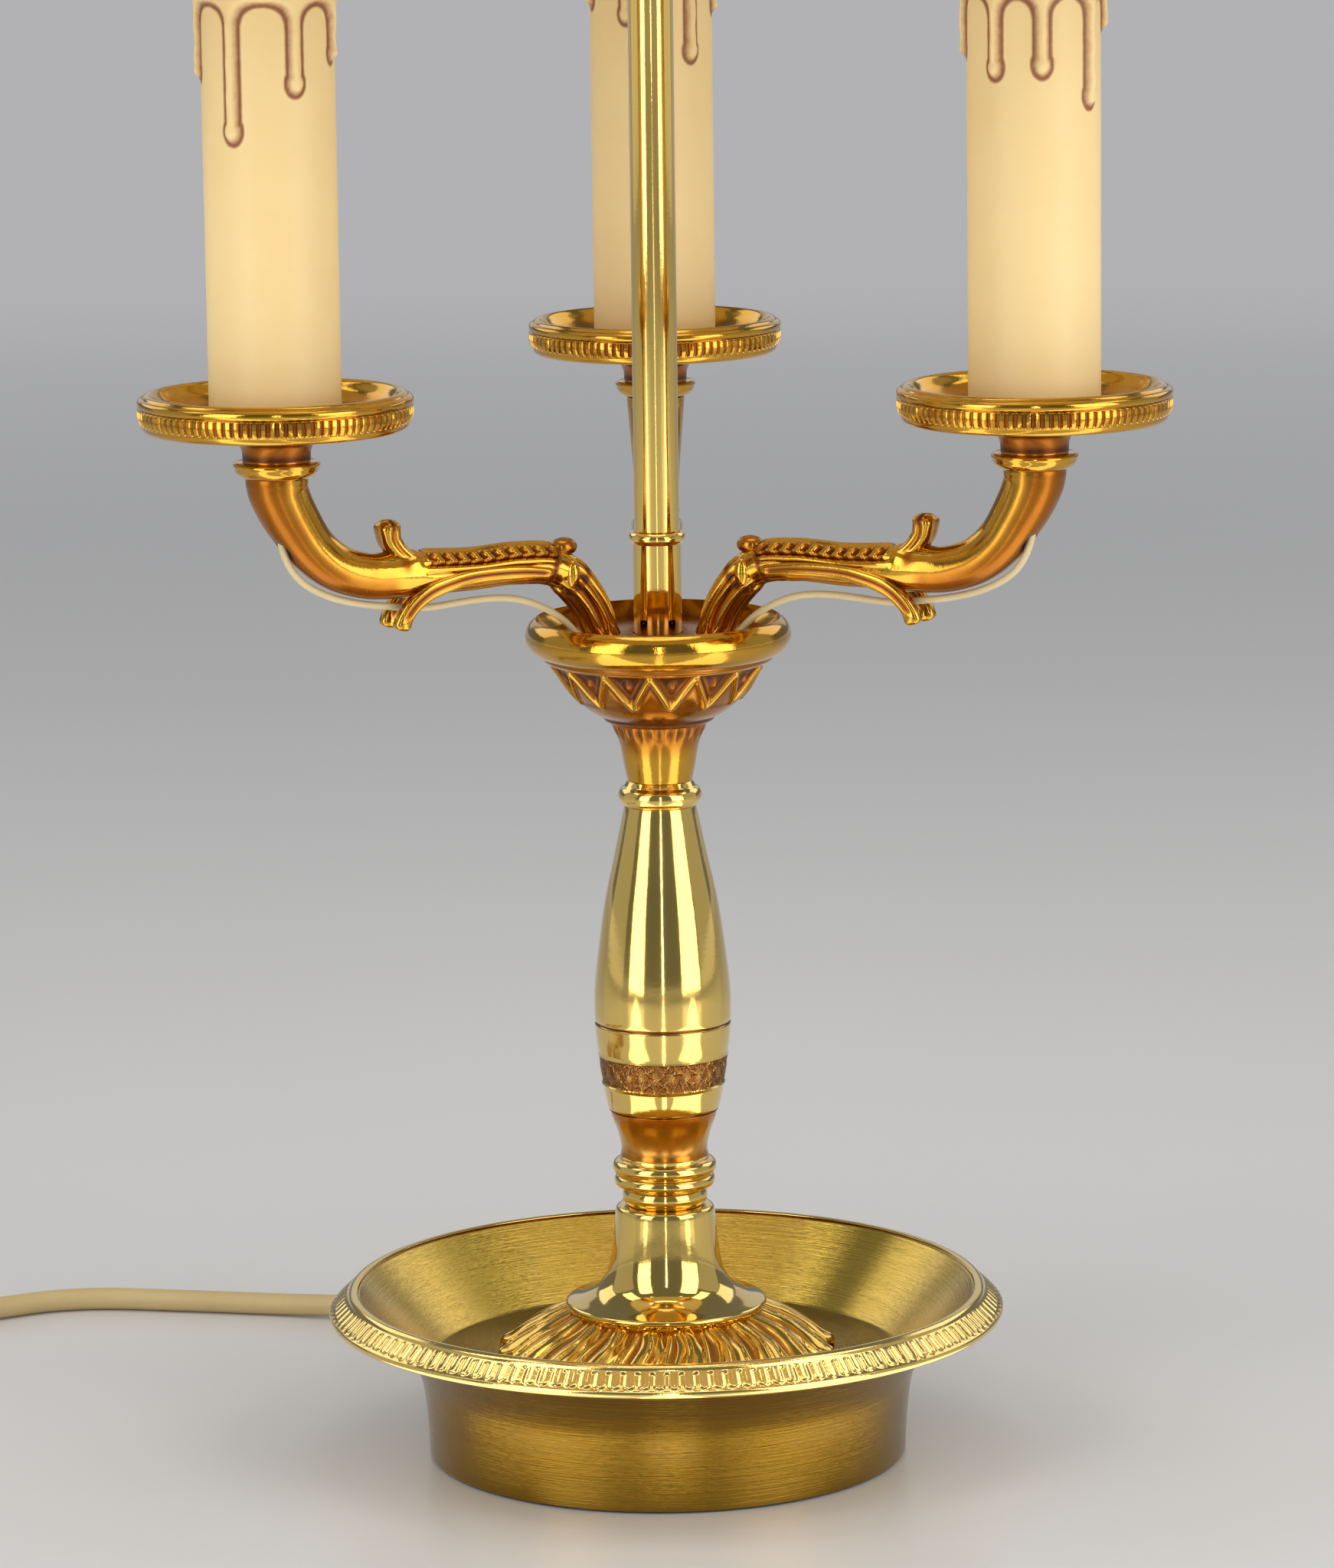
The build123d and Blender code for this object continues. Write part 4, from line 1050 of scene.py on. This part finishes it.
# --- shade and its carrier ---
SHADE_LOW, SHADE_HIGH = np.array([160.0, 330.0]), np.array([100.0, 460.0])
SHADE_SHEET = np.array([0.6, 0.0])
BEAD_RADIUS = 1.6
BAR_KNOTS = [(11.5, 457.35, 1.2, 1.3), (40, 458.7, 1.2, 1.3), (70, 460.1, 1.2, 1.3),
             (98.4, 461.5, 1.2, 1.3)]


def shade_outside(outline):
    """1 on the outer face of the sheet, 0 on its inner face."""
    way = SHADE_HIGH - SHADE_LOW
    outer = SHADE_LOW[0] + way[0] * (outline[:, 1] - SHADE_LOW[1]) / way[1]
    return (outline[:, 0] > outer - SHADE_SHEET[0] / 2) * 1.0


spin(
    "shade_sheet",
    chain(
        np.linspace(SHADE_LOW, SHADE_HIGH, 14),
        [SHADE_HIGH - SHADE_SHEET],
        np.linspace(0.07 * SHADE_LOW + 0.93 * SHADE_HIGH, SHADE_LOW, 13) - SHADE_SHEET,
    ),
    SHADE, "shade_group", ["shade_front", "shade_back"], turns=256, loop=True, edge=0.1,
    fields={"outside": shade_outside},
)
wheel = np.linspace(0, TURN, 28, endpoint=False)
for name, radius, z in (("bottom", 159.7, 328.5), ("top", 99.7, 461.5)):
    ring = np.stack([radius + BEAD_RADIUS * np.cos(wheel), z + BEAD_RADIUS * np.sin(wheel)], axis=1)
    spin(f"shade_{name}_bead", ring, SATIN, "shade_group", [f"shade_{name}_ring"], turns=256, loop=True)
bar, bar_faces, bar_recess = swept(BAR_KNOTS, 24, 20, round_ends=(0.8, 0.8))
spider_points, spider_faces, spider_recess = join(
    [(around(bar, azimuth), bar_faces, bar_recess) for azimuth in ARM_AZIMUTHS.values()]
)
make_piece("shade_spider_bars", spider_points, spider_faces, POLISHED, "shade_group", ["shade_spider"],
           merge=True, fields={"recess": spider_recess})
spin("shade_spider_hub", line((7.9, 456.05), (13, 456.05), (13, 458.65), (7.9, 458.65)), POLISHED,
     "shade_group", ["shade_spider"], loop=True, edge=0.4)


def knurl(angle, outline):
    """Fine upright knurling on the carrier's middle."""
    on = between(outline[:, 1], 440, 440.6, 447.8, 448.4)
    ridge = 0.5 + 0.5 * np.cos(angle * 60)
    return on * (ridge - 1) * 0.3, on * (1 - ridge) * 0.5


spin(
    "carrier_body",
    chain(
        line((7, 434), (7.8, 435)),
        bead((7.8, 435), (7.8, 438.4), 1.2),
        line((7.8, 438.4), (9, 439.4), *np.linspace((9, 440), (9, 448.4), 15), (9, 449),
             (7.8, 450), (7.8, 452.4)),
        curve((7.8, 452.4), (9.4, 453.2), (12.4, 454.6)),
        line((12.4, 454.6), (12.4, 456), (7.6, 456), (7.6, 461), (6.6, 462.4)),
    ),
    POLISHED, "carrier", ["shade_carrier"], bore=4.8, turns=360, relief=knurl, edge=0.25,
)
spin(
    "finial_knob",
    chain(
        line((3.1, 500.1), (5.6, 500.1), (7, 500.7)),
        bead((7, 500.7), (6.2, 504.2), 1.2),
        curve((6.2, 504.2), (3.4, 506.4), (3.2, 508.6)),
        bead((3.2, 508.6), (3.2, 511.4), 1.6),
        curve((3.2, 511.4), (6.4, 513.6), (9.2, 519.4), (8.6, 526.4), (4.6, 533.4), (2.4, 538.2),
              (1.9, 541), (0.9, 543.2), (0, 543.8)),
    ),
    POLISHED, "finial_knob", ["finial"], open_low=True, edge=0.2,
)


# --- CAD parts that keep their shape ---
for material, names in (
    (FELT, "felt_pad"),
    (IRON, "ballast_plate"),
    (NICKEL, "base_nut arm_screws plug_pins"),
    (POLISHED, "centre_tube shade_key"),
    (HOLDER, "terminal_block left_lampholder right_lampholder rear_lampholder"),
    (CORD, "strain_relief"),
    (FITTING, "plug_body switch_base switch_cover switch_rocker"),
):
    for name in names.split():
        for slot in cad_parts[name].material_slots:
            slot.material = material

# --- stage and lights ---
# The floor is a disc so wide that its edge is the horizon from every side.
# Past HAZE_FROM metres it fades into an even grey for the rays that see it.
FLOOR_RINGS = np.array([0, 0.5, 2, 6, 18])[:, None]
FLOOR_SIDES = 96
FLOOR_Z = -0.0001
HAZE_FROM, HAZE_FULL = 0.8, 2.6

floor_turn = np.linspace(0, TURN, FLOOR_SIDES, endpoint=False)
floor_x, floor_y = FLOOR_RINGS * np.cos(floor_turn), FLOOR_RINGS * np.sin(floor_turn)
stage_points = np.stack([floor_x, floor_y, 0 * floor_x + FLOOR_Z], axis=-1).reshape(-1, 3)
stage_faces = grid_faces(len(FLOOR_RINGS), FLOOR_SIDES, False, True)
stage_mesh = bpy.data.meshes.new("stage")
stage_mesh.from_pydata(stage_points.tolist(), [], stage_faces.tolist())
paper = Net.look("stage_paper")
paper_tone = paper.mix(paper.noise(1.5), rgb(214, 214, 216), rgb(220, 220, 222))
paper_surface = paper.node("BsdfPrincipled", {"Base Color": paper_tone, "Roughness": 0.3})
haze = paper.node("Emission", {"Color": rgb(178, 178, 180), "Strength": 1})
ray_seen = paper.node("LightPath", out="Is Camera Ray")
for ray_kind in ("Is Glossy Ray", "Is Transmission Ray"):
    ray_seen = ray_seen + paper.node("LightPath", out=ray_kind)
hazy = paper.band(polar(paper)[0], HAZE_FROM, HAZE_FULL) * ray_seen
paper_mix = paper.node("MixShader", {0: hazy, 1: paper_surface, 2: haze})
paper.node("OutputMaterial", {"Surface": paper_mix})
stage_mesh.materials.append(paper.owner)
stage = bpy.data.objects.new("stage", stage_mesh)
scene.collection.objects.link(stage)

world = bpy.data.worlds.new("studio")
scene.world = world
studio = Net(world)
air = studio.node("Background", {"Color": (0.9, 0.95, 1, 1), "Strength": 0.2})
studio.node("OutputWorld", {"Surface": air})


def softbox(name, place, target, size, power):
    """A rectangular area light aimed at a point, in metres and watts, that the camera doesn't see."""
    data = bpy.data.lights.new(name, "AREA")
    data.shape = "RECTANGLE"
    data.size, data.size_y = size
    data.energy = power
    data.color = (1, 0.97, 0.92)
    lamp = bpy.data.objects.new(name, data)
    lamp.location = place
    lamp.rotation_euler = (Vector(target) - Vector(place)).to_track_quat("-Z", "Y").to_euler()
    lamp.visible_camera = False
    scene.collection.objects.link(lamp)
    return lamp


def table_card(name, azimuth, near, far, width, power):
    """A light that lies on the table from near to far at an azimuth in degrees from the front,
    so that a box's reflection goes on to the foot of the brass."""
    a = math.radians(azimuth)
    middle = (near + far) / 2
    place = (middle * math.sin(a), -middle * math.cos(a), 0.001)
    card = softbox(name, place, (0, 0, 1), (width, far - near), power)
    card.rotation_euler = (math.pi, 0, a)


for box in (
    ("left_box", (-0.665, -0.665, 0.61), (0, 0, 0.55), (0.46, 1.1), 5.1),
    ("right_box", (0.73, -0.6, 0.61), (0, 0, 0.55), (0.6, 1.1), 6.4),
    ("left_fill", (-1.5, 0.1, 0.62), (0, 0, 0.5), (1.3, 1.2), 1.4),
    ("right_fill", (1.5, 0.1, 0.62), (0, 0, 0.5), (1.3, 1.2), 1.4),
    ("left_high", (-1.05, 0, 1.5), (0, 0, 0.1), (0.55, 0.7), 2.6),
    ("right_high", (1.05, 0, 1.5), (0, 0, 0.1), (0.55, 0.7), 2.6),
    ("back_box", (0, 1.9, 0.7), (0, 0, 0.2), (1.8, 0.7), 1.6),
    ("left_back", (-1.1, 1.1, 0.95), (0, 0, 0.05), (0.9, 0.7), 2.4),
    ("right_back", (1.1, 1.1, 0.95), (0, 0, 0.05), (0.9, 0.7), 2.4),
    ("top_box", (0, -0.2, 1.7), (0, 0, 0.1), (1.2, 1), 8),
    ("front_strip", (0.03, -1.7, 0.66), (0, 0, 0.3), (0.06, 1.25), 2.4),
):
    softbox(*box)
table_card("left_card", -45, 0.07, 1.3, 0.12, 0.7)
table_card("right_card", 51, 0.07, 1.3, 0.14, 0.8)
table_card("front_card", 1, 0.07, 1.5, 0.02, 0.18)
scene.view_settings.view_transform = "Standard"
